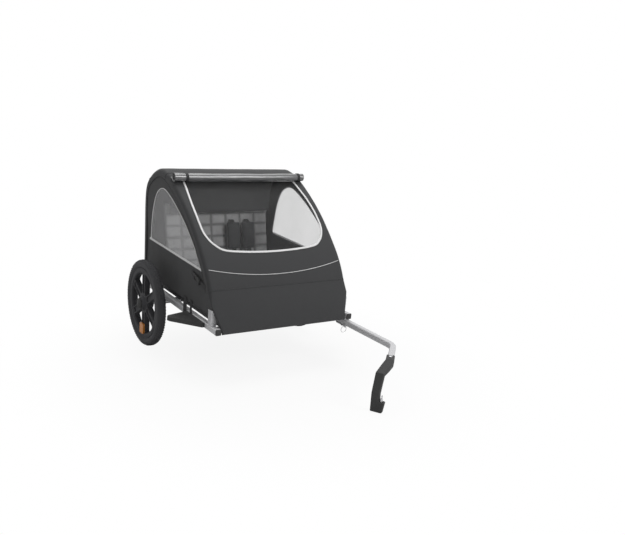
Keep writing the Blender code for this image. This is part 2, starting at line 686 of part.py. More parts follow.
def coupler_rings():
    """Sections of the moulded coupler: a square sleeve, a thinner bent bar and a toe at the foot."""
    along, line = coupler_line()
    sleeve = COUPLER_DEEP / 2
    wide, thin = COUPLER_WIDE / 2, COUPLER_THIN / 2
    first_across = Vector((-along.y, along.x, 0)) * -1
    knee, hip, calf, foot = line[1:]
    toe_top = calf.lerp(foot, 0.38)
    stops = [(line[0], along, first_across, sleeve, sleeve, sleeve),
             (knee, along, first_across, sleeve, sleeve, sleeve),
             (knee.lerp(hip, 0.45), (hip - knee).normalized(), COUPLER_ACROSS, wide, wide, thin + 0.002),
             (hip, (calf - knee).normalized(), COUPLER_ACROSS, wide, wide - 0.001, thin),
             (calf, (foot - hip).normalized(), COUPLER_ACROSS, wide, wide - 0.003, thin),
             (toe_top, (foot - calf).normalized(), COUPLER_ACROSS, wide, wide - 0.003, thin),
             (toe_top.lerp(foot, 0.04), (foot - calf).normalized(), COUPLER_ACROSS, wide, wide + COUPLER_TOE, thin),
             (foot, (foot - calf).normalized(), COUPLER_ACROSS, wide, wide + COUPLER_TOE * 0.6, thin)]
    rings = []
    for at, forward, across, left, right, deep in stops:
        across = across.normalized()
        rise = across.cross(forward).normalized()
        c = COUPLER_CORNER
        section = [(-left + c, -deep), (right - c, -deep), (right, -deep + c), (right, deep - c),
                   (right - c, deep), (-left + c, deep), (-left, deep - c), (-left, -deep + c)]
        rings.append([at + across * a + rise * b for a, b in section])
    tilt = lean()
    rings[-1] = [Vector((p.x, p.y, (-WHEEL_R - p.y * math.sin(tilt)) / math.cos(tilt))) for p in rings[-1]]
    return rings, toe_top, foot


def coupler(swing, pull, along, middle, paints):
    """Moulded coupler on the end of the arm, its bolt, and the hitch pin in its toe."""
    rings, toe_top, foot = coupler_rings()
    bm = bmesh.new()
    body = finish("coupler", loft(bm, rings), paints["black"], swing)
    end = Vector((*ARM_END, ARM_Z))
    half = TUBE / 2 + GAP
    bore = bmesh.new()
    path = [end - along * 0.02, end + along * (COUPLER_SLEEVE * 0.8 + GAP)]
    cut(body, loft(bore, sweep_rings(path, square(half, TUBE_CORNER), Vector((0, 0, 1)))), "coupler_bore")
    notch = bmesh.new()
    rod(notch, end - along * 0.004 + Vector((0, 0, 0.005)), end - along * 0.004 + Vector((0, 0, 0.04)), 16,
        (0, 0.0105), (1, 0.0105))
    cut(body, notch, "coupler_notch")
    hole = bmesh.new()
    reach = BOLT_R + PIN_PLAY
    rod(hole, middle - Vector((0, 0, 0.04)), middle + Vector((0, 0, 0.04)), 12, (0, reach), (1, reach))
    cut(body, hole, "coupler_bolt_hole")
    outer = COUPLER_DEEP / 2 + GAP
    full = 2 * outer + BOLT_NUT + BOLT_HEAD
    nut, head = BOLT_NUT / full, 1 - BOLT_HEAD / full
    bolt = bmesh.new()
    rod(bolt, middle - Vector((0, 0, outer + BOLT_NUT)), middle + Vector((0, 0, outer + BOLT_HEAD)), 12,
        (0, 0.0058), (nut, 0.0058), (nut + 0.0001, BOLT_R), (head - 0.0001, BOLT_R), (head, 0.0070),
        ((1 + head) / 2, 0.0070), (1, 0.0056))
    finish("coupler_bolt", bolt, paints["steel"], swing)

    offset = COUPLER_ACROSS.normalized() * (COUPLER_WIDE / 2 + COUPLER_TOE * 0.22)
    low = toe_top + offset + Vector((0, 0, -HITCH_PIN_DOWN))
    high = toe_top + offset + Vector((0, 0, HITCH_PIN_COLLAR + GAP))
    hole = bmesh.new()
    rod(hole, low - Vector((0, 0, 0.0006)), high + Vector((0, 0, 0.02)), 12,
        (0, HITCH_PIN_R + GAP), (1, HITCH_PIN_R + GAP))
    cut(body, hole, "hitch_pin_hole")
    full = (high - low).length
    pin = bmesh.new()
    neck = (full - HITCH_PIN_COLLAR) / full
    rod(pin, low, high, 12, (0, HITCH_PIN_R - 0.001), (0.03, HITCH_PIN_R), (neck, HITCH_PIN_R),
        (neck + 0.002, 0.0056), ((full - 0.001) / full, 0.0056), (1, 0.0048))
    piece = finish("hitch_pin", pin, paints["steel"], pull)
    ring = wire_ring((0, 0, 0), 0.0075, "Y")
    ahead = Vector((-COUPLER_ACROSS.y, COUPLER_ACROSS.x, 0)).normalized()
    turn = Matrix((COUPLER_ACROSS.normalized(), ahead, (0, 0, 1))).transposed().to_4x4()
    bmesh.ops.transform(ring, matrix=Matrix.Rotation(math.pi / 2, 4, "Z"), verts=ring.verts)
    bmesh.ops.transform(ring, matrix=turn, verts=ring.verts)
    bmesh.ops.translate(ring, verts=ring.verts, vec=high + Vector((0, 0, 0.0062)))
    weld(piece, ring, "hitch_ring")
    return low


def profile_part(first, last):
    """The profile between two of its places, each end held back by a clearance."""
    spots = profile_line()
    ends = [min(range(len(spots)), key=lambda i, k=k: (spots[i][0] - Vector((0, *PROFILE[k]))).length)
            for k in (first, last)]
    part = spots[ends[0]:ends[1] + 1]
    for k, sign in ((0, 1), (-1, -1)):
        p, inward = part[k]
        part[k] = (p + Vector((0, -inward.z, inward.y)) * (GAP * sign), inward)
    return part


def cover_half(p):
    """Half the width of the body at a place: it draws in towards its front foot."""
    share = min(1.0, max(0.0, (DRAW_IN_Z - p.z) / (DRAW_IN_Z - PROFILE[0][1]))) if p.y < 0 else 0.0
    return BODY_HALF + (FOOT_HALF - BODY_HALF) * share


def cover_corner(p):
    """The radius of the corner over the arch: it runs out under the front seam."""
    seam = PROFILE[SEAM][1]
    share = min(1.0, max(0.0, (seam - p.z) / (seam - DRAW_IN_Z))) if p.y < 0 else 0.0
    return CORNER + (CORNER_LEAST - CORNER) * share


def cover(name, spots, material, sheet=COVER, under=0.0, half=None, corner=None):
    """A sheet that follows the profile and turns a round corner over each side arch."""
    bm = bmesh.new()
    rings = []
    for p, inward in spots:
        wide = half or cover_half(p)
        turn = corner or cover_corner(p)
        outer, inner = [], []
        for k in range(4):
            a = math.pi / 6 * k
            outer.append((wide - turn + turn * math.sin(a), turn - turn * math.cos(a)))
            low = turn - sheet
            inner.append((wide - turn + low * math.sin(a), turn - low * math.cos(a)))
        section = [(-x, d) for x, d in reversed(outer)] + outer + inner[::-1] + [(-x, d) for x, d in inner]
        rings.append([p + inward * (d + under) + Vector((x, 0, 0)) for x, d in section])
    return finish(name, loft(bm, rings), material, smooth=40)


def profile_at(z):
    """The front of the profile at a height, with its inward direction."""
    spots = profile_line()
    for (p, inward), (q, _) in zip(spots, spots[1:]):
        if p.z <= z <= q.z:
            return p.lerp(q, (z - p.z) / (q.z - p.z)), inward
    raise ValueError(z)


def window_cutter():
    """A straight block through the front cover with the outline of the front window."""
    half = [(across * BODY_HALF, up * PROFILE[ROOF_TOP][1]) for across, up in FRONT_WINDOW]
    points = [(x, 0, z) for x, z in half] + [(-x, 0, z) for x, z in reversed(half[:-1])]
    edge = [profile_at(p.z)[0] + Vector((p.x, 0, 0)) for p in smooth_path(points, 0.05)]
    low, high = Vector((0, *PROFILE[2])), Vector((0, *PROFILE[ROOF_SEAM]))
    along = (high - low).normalized()
    out = Vector((0, -along.z, along.y))
    flat = [p - out * (p - low).dot(out) for p in edge]
    bm = bmesh.new()
    return loft(bm, [[p + out * depth for p in flat] for depth in (-0.06, 0.15)])


def side_outline():
    """The edge of a side panel: along the covers' edges, with a notch over each post."""
    notch = FOOT_PIN_Z + POST_ABOVE + 0.0025
    edge = [p + inward * (cover_corner(p) + GAP) for p, inward in profile_line()]
    edge = [(p.y, p.z) for p in edge if p.z > notch + 0.012]
    slope = (PROFILE[SEAM][0] - PROFILE[0][0]) / (PROFILE[SEAM][1] - PROFILE[0][1])
    start_y = edge[0][0] - (edge[0][1] - notch) * slope
    clear = ARCH_R + RUNNING + POST_SHEET + 0.006
    front, rear = FRONT_FOOT_Y + clear, arch_path(1)[-1].y - clear
    return [(front, HEM_Z), (front, notch), (start_y, notch), *edge, (edge[-1][0], notch), (rear, notch),
            (rear, HEM_Z)]


def side_cloth(side, word, paints):
    outer, inner = BODY_HALF * side, (BODY_HALF - COVER) * side
    near, far = sorted((outer, inner))
    bm = bmesh.new()
    panel = finish("side_panel_" + word, plate(bm, side_outline(), "X", near, far), paints["cloth"])
    hole = bmesh.new()
    opening = round_corners(SIDE_WINDOW, 0.03, 2)
    cut(panel, plate(hole, opening, "X", near - 0.02, far + 0.02), "side_opening_" + word)
    middle = sum((Vector(p) for p in SIDE_WINDOW), Vector((0, 0))) / len(SIDE_WINDOW)
    spread = [tuple(Vector(p) + (Vector(p) - middle).normalized() * WINDOW_LAP) for p in opening]
    face = (BODY_HALF - COVER - GAP) * side
    near, far = sorted((face, face - WINDOW_SHEET * side))
    bm = bmesh.new()
    finish("side_window_" + word, plate(bm, spread, "X", near, far), paints["clear"])


def cushion(name, corners, across, thick, material, crown=CROWN, channels=0, grid=(12, 8)):
    """A pad between two (y, z) ends, with a crown, drawn-in sides and sewn channels across it."""
    (y0, z0), (y1, z1) = corners
    start, end = Vector((0, y0, z0)), Vector((0, y1, z1))
    along = (end - start).normalized()
    up = Vector((0, -along.z, along.y))
    x0, x1 = across
    rows, columns = grid
    full = (end - start).length
    top, bottom = [], []
    for i in range(rows + 1):
        t = i / rows
        line_top, line_low = [], []
        for k in range(columns + 1):
            s = k / columns
            rim = min(1.0, 5 * min(t, 1 - t, s, 1 - s) + 0.30)
            swell = crown * math.sin(math.pi * s) * math.sin(math.pi * t)
            valley = 0.004 * max(0.0, math.cos(2 * math.pi * channels * t)) if channels else 0.0
            draw = 0.010 * math.sin(math.pi * t) * (1 if k in (0, columns) else 0)
            x = x0 + (x1 - x0) * s + (draw if k == 0 else -draw if k == columns else 0)
            base = start + along * full * t + Vector((x, 0, 0))
            line_top.append(base + up * (thick * (0.45 + 0.55 * rim) + swell - valley * (rim > 0.9)))
            line_low.append(base)
        top.append(line_top)
        bottom.append(line_low)
    bm = bmesh.new()
    upper = [[bm.verts.new(p) for p in row] for row in top]
    lower = [[bm.verts.new(p) for p in row] for row in bottom]
    for i in range(rows):
        for k in range(columns):
            bm.faces.new((upper[i][k], upper[i][k + 1], upper[i + 1][k + 1], upper[i + 1][k]))
            bm.faces.new((lower[i][k], lower[i + 1][k], lower[i + 1][k + 1], lower[i][k + 1]))
    rim = [(0, k) for k in range(columns)] + [(i, columns) for i in range(rows)]
    rim += [(rows, k) for k in range(columns, 0, -1)] + [(i, 0) for i in range(rows, 0, -1)]
    for (a, b), (c, d) in zip(rim, rim[1:] + rim[:1]):
        bm.faces.new((upper[a][b], lower[a][b], lower[c][d], upper[c][d]))
    return finish(name, bm, material, smooth=60)


def seat(paints):
    floor_top = RAIL_TOP + GAP + COVER
    bm = bmesh.new()
    half = ARCH_X - ARCH_R - 0.003
    ends = FRONT_TUBE_Y - 0.010, REAR_TUBE_Y + 0.020
    outline = round_corners([(-half, ends[0]), (half, ends[0]), (half, ends[1]), (-half, ends[1])], 0.02, 2)
    plate(bm, outline, "Z", RAIL_TOP + GAP, floor_top)
    finish("floor", bm, paints["cloth"])
    low = floor_top + GAP
    back = (Vector((0, SEAT_BACK, low)), Vector((0, SEAT_BACK + BACK_LEAN, BACK_TOP)))
    up_back = (back[1] - back[0]).normalized()
    front = Vector((0, -up_back.z, up_back.y))
    meet = SEAT_BACK - BACK_THICK * BACK_FOOT - GAP
    cushion("seat_cushion", ((SEAT_FRONT, low), (meet, low)), (-SEAT_HALF, SEAT_HALF), SEAT_TOP - low - 0.008,
            paints["seat"])
    cushion("backrest", [(p.y, p.z) for p in back], (-SEAT_HALF, SEAT_HALF), BACK_THICK, paints["seat"],
            channels=4, grid=(16, 8))
    for word, x in (("inner", 0.090), ("outer", 0.175)):
        proud = BACK_THICK + CROWN * math.sin(math.pi * (x + SEAT_HALF) / (2 * SEAT_HALF)) + 2 * GAP
        foot = back[0] + up_back * PAD_FOOT + front * proud
        head = foot + up_back * PAD_LONG
        cushion("shoulder_pad_" + word, ((foot.y, foot.z), (head.y, head.z)), (x - PAD_HALF, x + PAD_HALF),
                PAD_THICK, paints["black"], crown=0.002, grid=(6, 4))


def rain_roll(paints):
    """The clear rain cover, rolled up along the front edge of the roof."""
    p, inward = profile_at(ROLL_Z)
    along = Vector((0, -inward.z, inward.y))
    centre = p - inward * (ROLL_R + GAP)
    bm = bmesh.new()
    rings = []
    for k in range(17):
        x = -ROLL_HALF + ROLL_HALF * k / 8
        swell = 1 - 0.05 * abs(math.sin(x * 31))
        rings.append([centre + Vector((x, 0, 0)) + (along * math.cos(a) - inward * math.sin(a)) * (ROLL_R * swell)
                      for a in (2 * math.pi * j / 12 for j in range(12))])
    finish("rain_cover_roll", loft(bm, rings), paints["clear"], smooth=60)


def hem_loop(side, word, paints):
    """A webbing loop that runs from the hem down round the rail."""
    out = RAIL_OUTER + GAP
    low = RAIL_LOW - GAP
    inside = RAIL_X - TUBE / 2 - GAP
    top = HEM_Z - GAP
    outline = [(out, top), (out + LOOP_THICK, top), (out + LOOP_THICK, low - LOOP_THICK),
               (inside - LOOP_THICK, low - LOOP_THICK), (inside - LOOP_THICK, RAIL_TOP - 0.004),
               (inside, RAIL_TOP - 0.004), (inside, low), (out, low)]
    bm = bmesh.new()
    plate(bm, [(x * side, z) for x, z in outline], "Y", LOOP_Y - LOOP_WIDE / 2, LOOP_Y + LOOP_WIDE / 2)
    finish("hem_loop_" + word, bm, paints["black"])


def main():
    global ROOT
    for piece in list(bpy.data.objects):
        bpy.data.objects.remove(piece)
    level = frame("axle_line", (0, 0, 0))
    ROOT = frame("body_frame", (0, 0, 0))
    ROOT.rotation_euler.x = lean()
    paints = {
        "silver": paint("silver_paint", (0.56, 0.56, 0.57), 0.35, 0.6),
        "steel": paint("zinc_steel", (0.55, 0.55, 0.56), 0.3, 1.0),
        "black": paint("black_plastic", (0.02, 0.02, 0.021), 0.5),
        "moulded": paint("moulded_wheel", (0.025, 0.026, 0.028), 0.45),
        "rubber": paint("tyre_rubber", (0.035, 0.035, 0.036), 0.85),
        "amber": paint("amber_reflector", (0.65, 0.20, 0.03), 0.2),
        "cloth": paint("charcoal_fabric", (0.035, 0.036, 0.038), 0.8),
        "seat": paint("grey_fabric", (0.16, 0.165, 0.17), 0.85),
        "clear": paint("clear_sheet", (0.75, 0.77, 0.78), 0.15, 0.0, 0.35),
    }
    axle_tube(paints["steel"])
    cross_tube("front_cross_tube", FRONT_TUBE_Y, paints["steel"])
    cross_tube("rear_cross_tube", REAR_TUBE_Y, paints["steel"])
    for side, word in ((1, "left"), (-1, "right")):
        rails(side, word, paints["silver"], paints["black"])
        axle_parts(side, word, paints["silver"], paints["steel"])
        wheel_guard(side, word, paints["black"])
        wheel(side, word, level, paints)
        path = arch(side, word, paints["silver"])
        post(side, word, "front", path[0].y, paints["silver"], paints["steel"])
        post(side, word, "rear", path[-1].y, paints["silver"], paints["steel"])
        side_cloth(side, word, paints)
        hem_loop(side, word, paints)
    crossbar(paints["silver"])

    swing = frame("arm_swing", (RAIL_X, ARM_PIVOT_Y, ARM_Z), ROOT)
    along, middle = tow_arm(swing, paints)
    slide = frame("lock_pin_slide", (RAIL_X, LOCK_PIN_Y, ARM_Z), ROOT)
    lock_pin(slide, paints)
    foot = coupler_line()[1][-1]
    pull = frame("hitch_pin_slide", tuple(foot), swing)
    coupler(swing, pull, along, middle, paints)

    cover("front_panel", profile_part(0, SEAM), paints["cloth"])
    front = profile_part(SEAM, ROOF_SEAM)
    cut(cover("front_cover", front, paints["cloth"]), window_cutter(), "front_opening")
    cover("front_window", front[1:-1], paints["clear"], WINDOW_SHEET, COVER + GAP, WINDOW_HALF, CORNER_LEAST)
    cover("roof_cover", profile_part(ROOF_SEAM, REAR_SEAM), paints["cloth"])
    cover("rear_cover", profile_part(REAR_SEAM, len(PROFILE) - 1), paints["cloth"])
    seat(paints)
    rain_roll(paints)

    bpy.context.view_layer.update()
    spots = [piece.matrix_world @ v.co for piece in bpy.data.objects
             if piece.type == "MESH" and not piece.hide_render for v in piece.data.vertices]
    middle_y = (min(p.y for p in spots) + max(p.y for p in spots)) / 2
    for root in (level, ROOT):
        root.location = (0, -middle_y, WHEEL_R)


main()
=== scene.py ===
"""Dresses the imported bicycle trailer: canopy, windows, seat, tyres, finishes, stage and camera."""
import contextlib
import json
import math

import bmesh
import bpy
from bpy.props import FloatProperty, FloatVectorProperty, PointerProperty
from mathutils import Matrix, Vector, noise

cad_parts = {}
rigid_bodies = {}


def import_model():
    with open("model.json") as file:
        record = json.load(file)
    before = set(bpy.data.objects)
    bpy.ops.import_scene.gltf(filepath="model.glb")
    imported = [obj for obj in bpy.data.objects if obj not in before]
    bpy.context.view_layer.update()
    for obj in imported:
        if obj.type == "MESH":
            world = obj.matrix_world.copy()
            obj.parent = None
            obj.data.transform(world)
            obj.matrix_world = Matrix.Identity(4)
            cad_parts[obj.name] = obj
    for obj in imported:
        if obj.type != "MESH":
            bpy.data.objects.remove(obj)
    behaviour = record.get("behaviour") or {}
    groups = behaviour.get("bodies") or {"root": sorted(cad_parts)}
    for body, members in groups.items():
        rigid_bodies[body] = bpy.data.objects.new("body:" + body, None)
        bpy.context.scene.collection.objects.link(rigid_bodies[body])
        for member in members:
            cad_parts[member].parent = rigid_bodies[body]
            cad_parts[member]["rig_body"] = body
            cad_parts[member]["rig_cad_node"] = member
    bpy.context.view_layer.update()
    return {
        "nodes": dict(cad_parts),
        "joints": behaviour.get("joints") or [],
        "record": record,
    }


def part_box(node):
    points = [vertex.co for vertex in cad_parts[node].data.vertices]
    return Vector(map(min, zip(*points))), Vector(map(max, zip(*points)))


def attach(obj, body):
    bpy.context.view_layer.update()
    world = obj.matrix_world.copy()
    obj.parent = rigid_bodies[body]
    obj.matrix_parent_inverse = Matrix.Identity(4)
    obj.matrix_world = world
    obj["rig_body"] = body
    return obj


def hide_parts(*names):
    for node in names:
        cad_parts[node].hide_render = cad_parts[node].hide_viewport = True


bl_info = {
    "name": "Bicycle trailer",
    "version": (1, 0, 0),
    "blender": (4, 5, 0),
    "location": "3D View > Sidebar > Trailer",
    "description": "Cloth, windows, seat and finishes of a two-seat bicycle trailer",
    "category": "Object",
}

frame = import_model()
JOINTS = {joint["name"]: joint for joint in frame["joints"]}
SLOTS = {row["node"]: row["material_slot"] for row in frame["record"]["subparts"]}

# The body frame: origin on the axle line, Y back along the rails, leaning by LEAN about X
AXLE = Vector((0, *JOINTS["wheel_spin_left"]["pos_m"][1:]))
LEAN = math.asin(-JOINTS["tow_arm_swing"]["axis"][1])
BODY = Matrix.Translation(AXLE) @ Matrix.Rotation(LEAN, 4, "X")
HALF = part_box("side_panel_left")[1].x
WHEEL_R = AXLE.z

# Side profile of the canopy, front foot to rear foot, as (y, z) in the body frame
PROFILE = [(-0.565, 0.026), (-0.490, 0.190), (-0.447, 0.263), (-0.388, 0.334), (-0.2855, 0.433),
           (-0.184, 0.508), (-0.090, 0.565), (-0.010, 0.598), (0.060, 0.609), (0.125, 0.590),
           (0.190, 0.550), (0.226, 0.505), (0.2375, 0.430), (0.234, 0.300), (0.230, 0.132)]
SEAM, ROOF_SEAM, ROOF_TOP, REAR_SEAM = 1, 7, 8, 10
CORNER = 0.0147
THIN_CORNER = 0.0032
FOOT_HALF = HALF - 0.036
DRAW_IN_Z = 0.135
HEM_Z = 0.090
NOTCH_Z = 0.1165
FRONT_POST_Y, REAR_POST_Y = -0.504, 0.216
RAIL_LOW, RAIL_TOP, RAIL_X = 0.023, 0.048, 0.3285
LOOP_Y = -0.270
KNEE, KNEE_REACH = Vector((0.188, -0.5865, 0.170)), 0.050
ROLL_R, ROLL_HALF, ROLL_Z = 0.0185, 0.335, PROFILE[ROOF_SEAM][1] - 0.026
ROLL_TURNS, TIES = 6, (-0.276, 0.307)
FLOOR_TOP, FLOOR_ENDS = 0.0510, (-0.535, 0.216)
SEAT_HALF, SEAT_FRONT, SEAT_BACK, SEAT_TOP = 0.280, -0.250, 0.075, 0.185
BACK_LEAN, BACK_TOP, BACK_THICK = 0.085, 0.435, 0.036
PANEL = [(0.0715, 0.600), (0.079, 0.550), (0.090, 0.480), (0.098, 0.398)]
PAD_X, PAD_FOOT, PAD_SIZE = (0.068, 0.151), 0.155, (0.076, 0.135, 0.020)
WHEEL_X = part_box("tyre_left")[0].x / 2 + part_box("tyre_left")[1].x / 2
TYRE_OUTER = [(0.0132, 0.1634), (0.0185, 0.1690), (0.0216, 0.1760), (0.0217, 0.1830), (0.0194, 0.1895),
              (0.0140, 0.1946), (0.0070, 0.1976)]
TYRE_INNER = [(0.0100, 0.1585), (0.0172, 0.1745), (0.0120, 0.1890)]
TYRE_STEPS, TREAD_BLOCKS = 96, 84
# Rows of tread blocks as (out from the middle, width, half length, shift in blocks)
TREAD_ROWS = ((0.0, 0.0062, 0.0042, 0.0), (0.0090, 0.0040, 0.0046, 0.5), (-0.0090, 0.0040, 0.0046, 0.5),
              (0.0162, 0.0046, 0.0040, 0.0), (-0.0162, 0.0046, 0.0040, 0.0))

# Trims: the front stripe's height and rise, the side band's ends as (y, z), the corner tab as (out, y, z)
STRIPE_Z, STRIPE_RISE = 0.233, 0.035
SIDE_BAND = (Vector((-0.418, 0.2545)), Vector((0.160, 0.2675)))
SIDE_TAB = ((0.0004, -0.318, 0.226), (0.0016, -0.345, 0.219), (0.0020, -0.380, 0.210),
            (0.0020, -0.420, 0.2005), (0.0012, -0.452, 0.193))
SIDE_BUCKLE, BUCKLE_TURN = (0.0058, -0.386, 0.2085), 0.245
COVER_SKIRT, PANEL_SKIRT = 0.020, 0.010
SCREEN_HALF, SCREEN_THICK, CLEAR_THICK = HALF - 0.032, 0.0006, 0.0005

# Window edges: half of the front one as shares of HALF and of the roof's height, the side one as (y, z)
FRONT_WINDOW = [(0.836, 0.944), (0.880, 0.821), (0.889, 0.706), (0.868, 0.632), (0.768, 0.568),
                (0.587, 0.535), (0.0, 0.5205)]
SIDE_WINDOW = [(0.147, 0.276), (0.140, 0.345), (0.124, 0.424), (0.089, 0.492), (0.037, 0.522),
               (-0.020, 0.520), (-0.118, 0.479), (-0.2345, 0.410), (-0.328, 0.335), (-0.404, 0.266),
               (-0.396, 0.2575), (-0.150, 0.261), (0.137, 0.266)]

# The photograph's camera in the body frame, with its focal length and centre in pixels of a 625 x 535 frame
EYE = Vector((-1.560, -2.8674, 0.9806))
AHEAD = Vector((0.50640, 0.81648, -0.27733))
ABOVE = Vector((0.08156, 0.27483, 0.95803))
FOCAL, CENTRE, FRAME = 690.0, (263.5, 290.0), (625.0, 535.0)

# Lamps as (name, place, size, power), the spot they look at, and the world's share of light on the object
LAMPS = (("key", (1.5, -2.8, 2.4), 1.6, 50), ("top", (0.3, 0.5, 3.2), 2.2, 38))
LIT_SPOT, DIM = Vector((0, 0.05, 0.35)), 0.34


def length(name, description, default):
    return FloatProperty(name=name, description=description, default=default, unit="LENGTH")


def colour(name, description, *default):
    return FloatVectorProperty(name=name, description=description, default=default, subtype="COLOR", size=3)


class Sizes(bpy.types.PropertyGroup):
    """Sizes of the soft pieces, in metres."""
    cloth: length("Cloth", "Thickness of the canopy's cloth", 0.0014)
    sag: length("Sag", "How far the canopy sinks between the arches", 0.005)
    crease: length("Crease", "Height of the cloth's soft creases", 0.0009)
    piping: length("Piping", "Radius of the pale piping", 0.0031)
    knob: length("Tread", "Height of the tyre's tread blocks", 0.0022)


class Colours(bpy.types.PropertyGroup):
    """Colours of the finishes."""
    cloth: colour("Cloth", "Canopy cloth", 0.039, 0.0395, 0.041)
    piping: colour("Piping", "Pale piping", 0.80, 0.80, 0.80)
    quilt: colour("Seat", "Quilted seat cloth", 0.42, 0.42, 0.425)
    silver: colour("Silver", "Painted tubes", 0.78, 0.78, 0.785)
    plastic: colour("Plastic", "Black moulded parts", 0.020, 0.020, 0.021)
    rubber: colour("Rubber", "Tyres", 0.062, 0.062, 0.063)
    reflector: colour("Reflector", "Spoke reflectors", 0.72, 0.22, 0.035)


def sizes():
    return bpy.context.scene.trailer_sizes


def colours():
    return bpy.context.scene.trailer_colours


class Value:
    """A socket of a shader that can be added and scaled like a number."""

    def __init__(self, paint, end):
        self.paint, self.end = paint, end

    def maths(self, operation, *values):
        return self.paint.node("ShaderNodeMath", {"operation": operation}, dict(enumerate((self, *values))))

    def __add__(self, other):
        return self.maths("ADD", other)

    def __mul__(self, other):
        return self.maths("MULTIPLY", other)

    def __sub__(self, other):
        return self.maths("SUBTRACT", other)

    __radd__ = __add__
    __rmul__ = __mul__


class Nodes:
    """A node tree, of a finish or of the world."""

    def __init__(self, tree):
        self.tree = tree

    def put(self, socket, value):
        if isinstance(value, Value):
            self.tree.links.new(value.end, socket)
        else:
            socket.default_value = value

    def node(self, kind, settings, values, output=0):
        """Adds a node: its settings first, then the values or links of its sockets."""
        node = self.tree.nodes.new(kind)
        for name, value in settings.items():
            setattr(node, name, value)
        for name, value in values.items():
            self.put(node.inputs[name], value)
        return Value(self, node.outputs[output])


class Paint(Nodes):
    """The node tree of one finish, built on a Principled shader."""

    def __init__(self, name, colour, roughness, metallic=0.0):
        self.material = bpy.data.materials.new(name)
        self.material.use_nodes = True
        super().__init__(self.material.node_tree)
        self.shader = self.tree.nodes["Principled BSDF"]
        self.colour = (*colour, 1.0)
        self.set(("Base Color", self.colour), ("Roughness", roughness), ("Metallic", metallic))
        self.place = self.node("ShaderNodeTexCoord", {}, {}, "Object")

    def set(self, *pairs):
        for name, value in pairs:
            self.put(self.shader.inputs[name], value)

    def noise(self, scale, detail=2.0, squash=(1, 1, 1)):
        """A soft noise of scale patterns to the metre, stretched along an axis where squash is small."""
        spot = self.node("ShaderNodeMapping", {}, {"Vector": self.place, "Scale": squash})
        return self.node("ShaderNodeTexNoise", {}, {"Vector": spot, "Scale": scale, "Detail": detail}, "Fac")

    def tint(self, share, low, high):
        """The finish's own colour, between low and high times itself as share goes from 0 to 1."""
        ends = [tuple(min(1.0, c * k) for c in self.colour[:3]) + (1.0,) for k in (low, high)]
        return self.node("ShaderNodeMix", {"data_type": "RGBA"}, {0: share, 6: ends[0], 7: ends[1]}, 2)

    def bump(self, height, distance, strength=1.0):
        values = {"Height": height, "Distance": distance, "Strength": strength}
        self.set(("Normal", self.node("ShaderNodeBump", {}, values)))

    def wave(self, axis, pitch):
        """Ridges across one axis of the object's own place, from 0 to 1."""
        part = self.node("ShaderNodeSeparateXYZ", {}, {0: self.place}, axis)
        return (part * (2 * math.pi / pitch)).maths("SINE") * 0.5 + 0.5


def kept(make):
    """Makes each finish once."""
    def get(*args):
        name = make.__name__ + "".join("_" + str(a) for a in args)
        return bpy.data.materials.get(name) or make(name, *args).material
    return get


@kept
def coated_cloth(name):
    """Coated polyester: a fine plain weave, a soft mottle and a faint sheen."""
    paint = Paint(name, colours().cloth, 0.72)
    weave = paint.wave("X", 0.0016) * 0.5 + (paint.wave("Y", 0.0016) + paint.wave("Z", 0.0016)) * 0.25
    mottle = paint.noise(9, 4)
    grain = paint.noise(420)
    paint.set(("Base Color", paint.tint(mottle * 0.6 + grain * 0.4, 0.78, 1.24)),
              ("Roughness", mottle * 0.16 + 0.60), ("Specular IOR Level", 0.22), ("Sheen Weight", 0.15),
              ("Sheen Roughness", 0.5))
    paint.bump(weave * 0.5 + grain * 0.3 + paint.noise(38, 3) * 2.0, 0.0006, 0.5)
    return paint


@kept
def quilted_cloth(name):
    """Brushed grey cloth of the seat, with painted shade along its sewn seams."""
    paint = Paint(name, colours().quilt, 0.9)
    mottle, grain = paint.noise(20, 5), paint.noise(700)
    # Painted shade: the 'seam' attribute, high on the sewn lines, darkens the colour there.
    seam = paint.node("ShaderNodeAttribute", {"attribute_name": "seam"}, {}, "Fac")
    paint.set(("Base Color", paint.tint(mottle * 0.8 + grain * 0.3 - seam * 0.75, 0.50, 1.42)),
              ("Specular IOR Level", 0.2), ("Sheen Weight", 0.3))
    paint.bump(grain * 0.6 + paint.noise(90, 3) * 1.4, 0.0008, 0.6)
    return paint


@kept
def webbing(name, axis):
    """Black woven tape, ribbed across its run."""
    paint = Paint(name, (0.020, 0.020, 0.021), 0.75)
    rib = paint.wave(axis, 0.0019)
    grain = paint.noise(500)
    paint.set(("Base Color", paint.tint(rib * 0.5 + grain * 0.5, 0.6, 1.7)))
    paint.bump(rib + grain * 0.4, 0.0004, 0.7)
    return paint


@kept
def pad_cloth(name):
    """Black knitted cover of the shoulder pads."""
    paint = Paint(name, (0.036, 0.037, 0.039), 0.85)
    grain = paint.noise(620)
    paint.set(("Base Color", paint.tint(paint.noise(40, 3) * 0.6 + grain * 0.4, 0.65, 1.45)))
    paint.bump(grain, 0.0006, 0.7)
    return paint


@kept
def reflective_piping(name):
    """Pale beaded piping that throws light back."""
    paint = Paint(name, colours().piping, 0.38)
    bead = paint.noise(900)
    paint.set(("Base Color", paint.tint(bead * 0.7 + paint.noise(12) * 0.3, 0.82, 1.16)),
              ("Roughness", bead * 0.25 + 0.26))
    paint.bump(bead, 0.0003, 0.5)
    return paint


@kept
def clear_sheet(name, shade, alpha):
    """Thin clear plastic with a faint haze and slow ripples."""
    paint = Paint(name, (shade, shade, shade * 1.01), 0.12)
    paint.set(("Alpha", paint.noise(7, 3) * (alpha * 0.5) + alpha * 0.75),
              ("Roughness", paint.noise(30, 3) * 0.10 + 0.07), ("Specular IOR Level", 0.2))
    paint.bump(paint.noise(11, 2), 0.004, 0.35)
    return paint


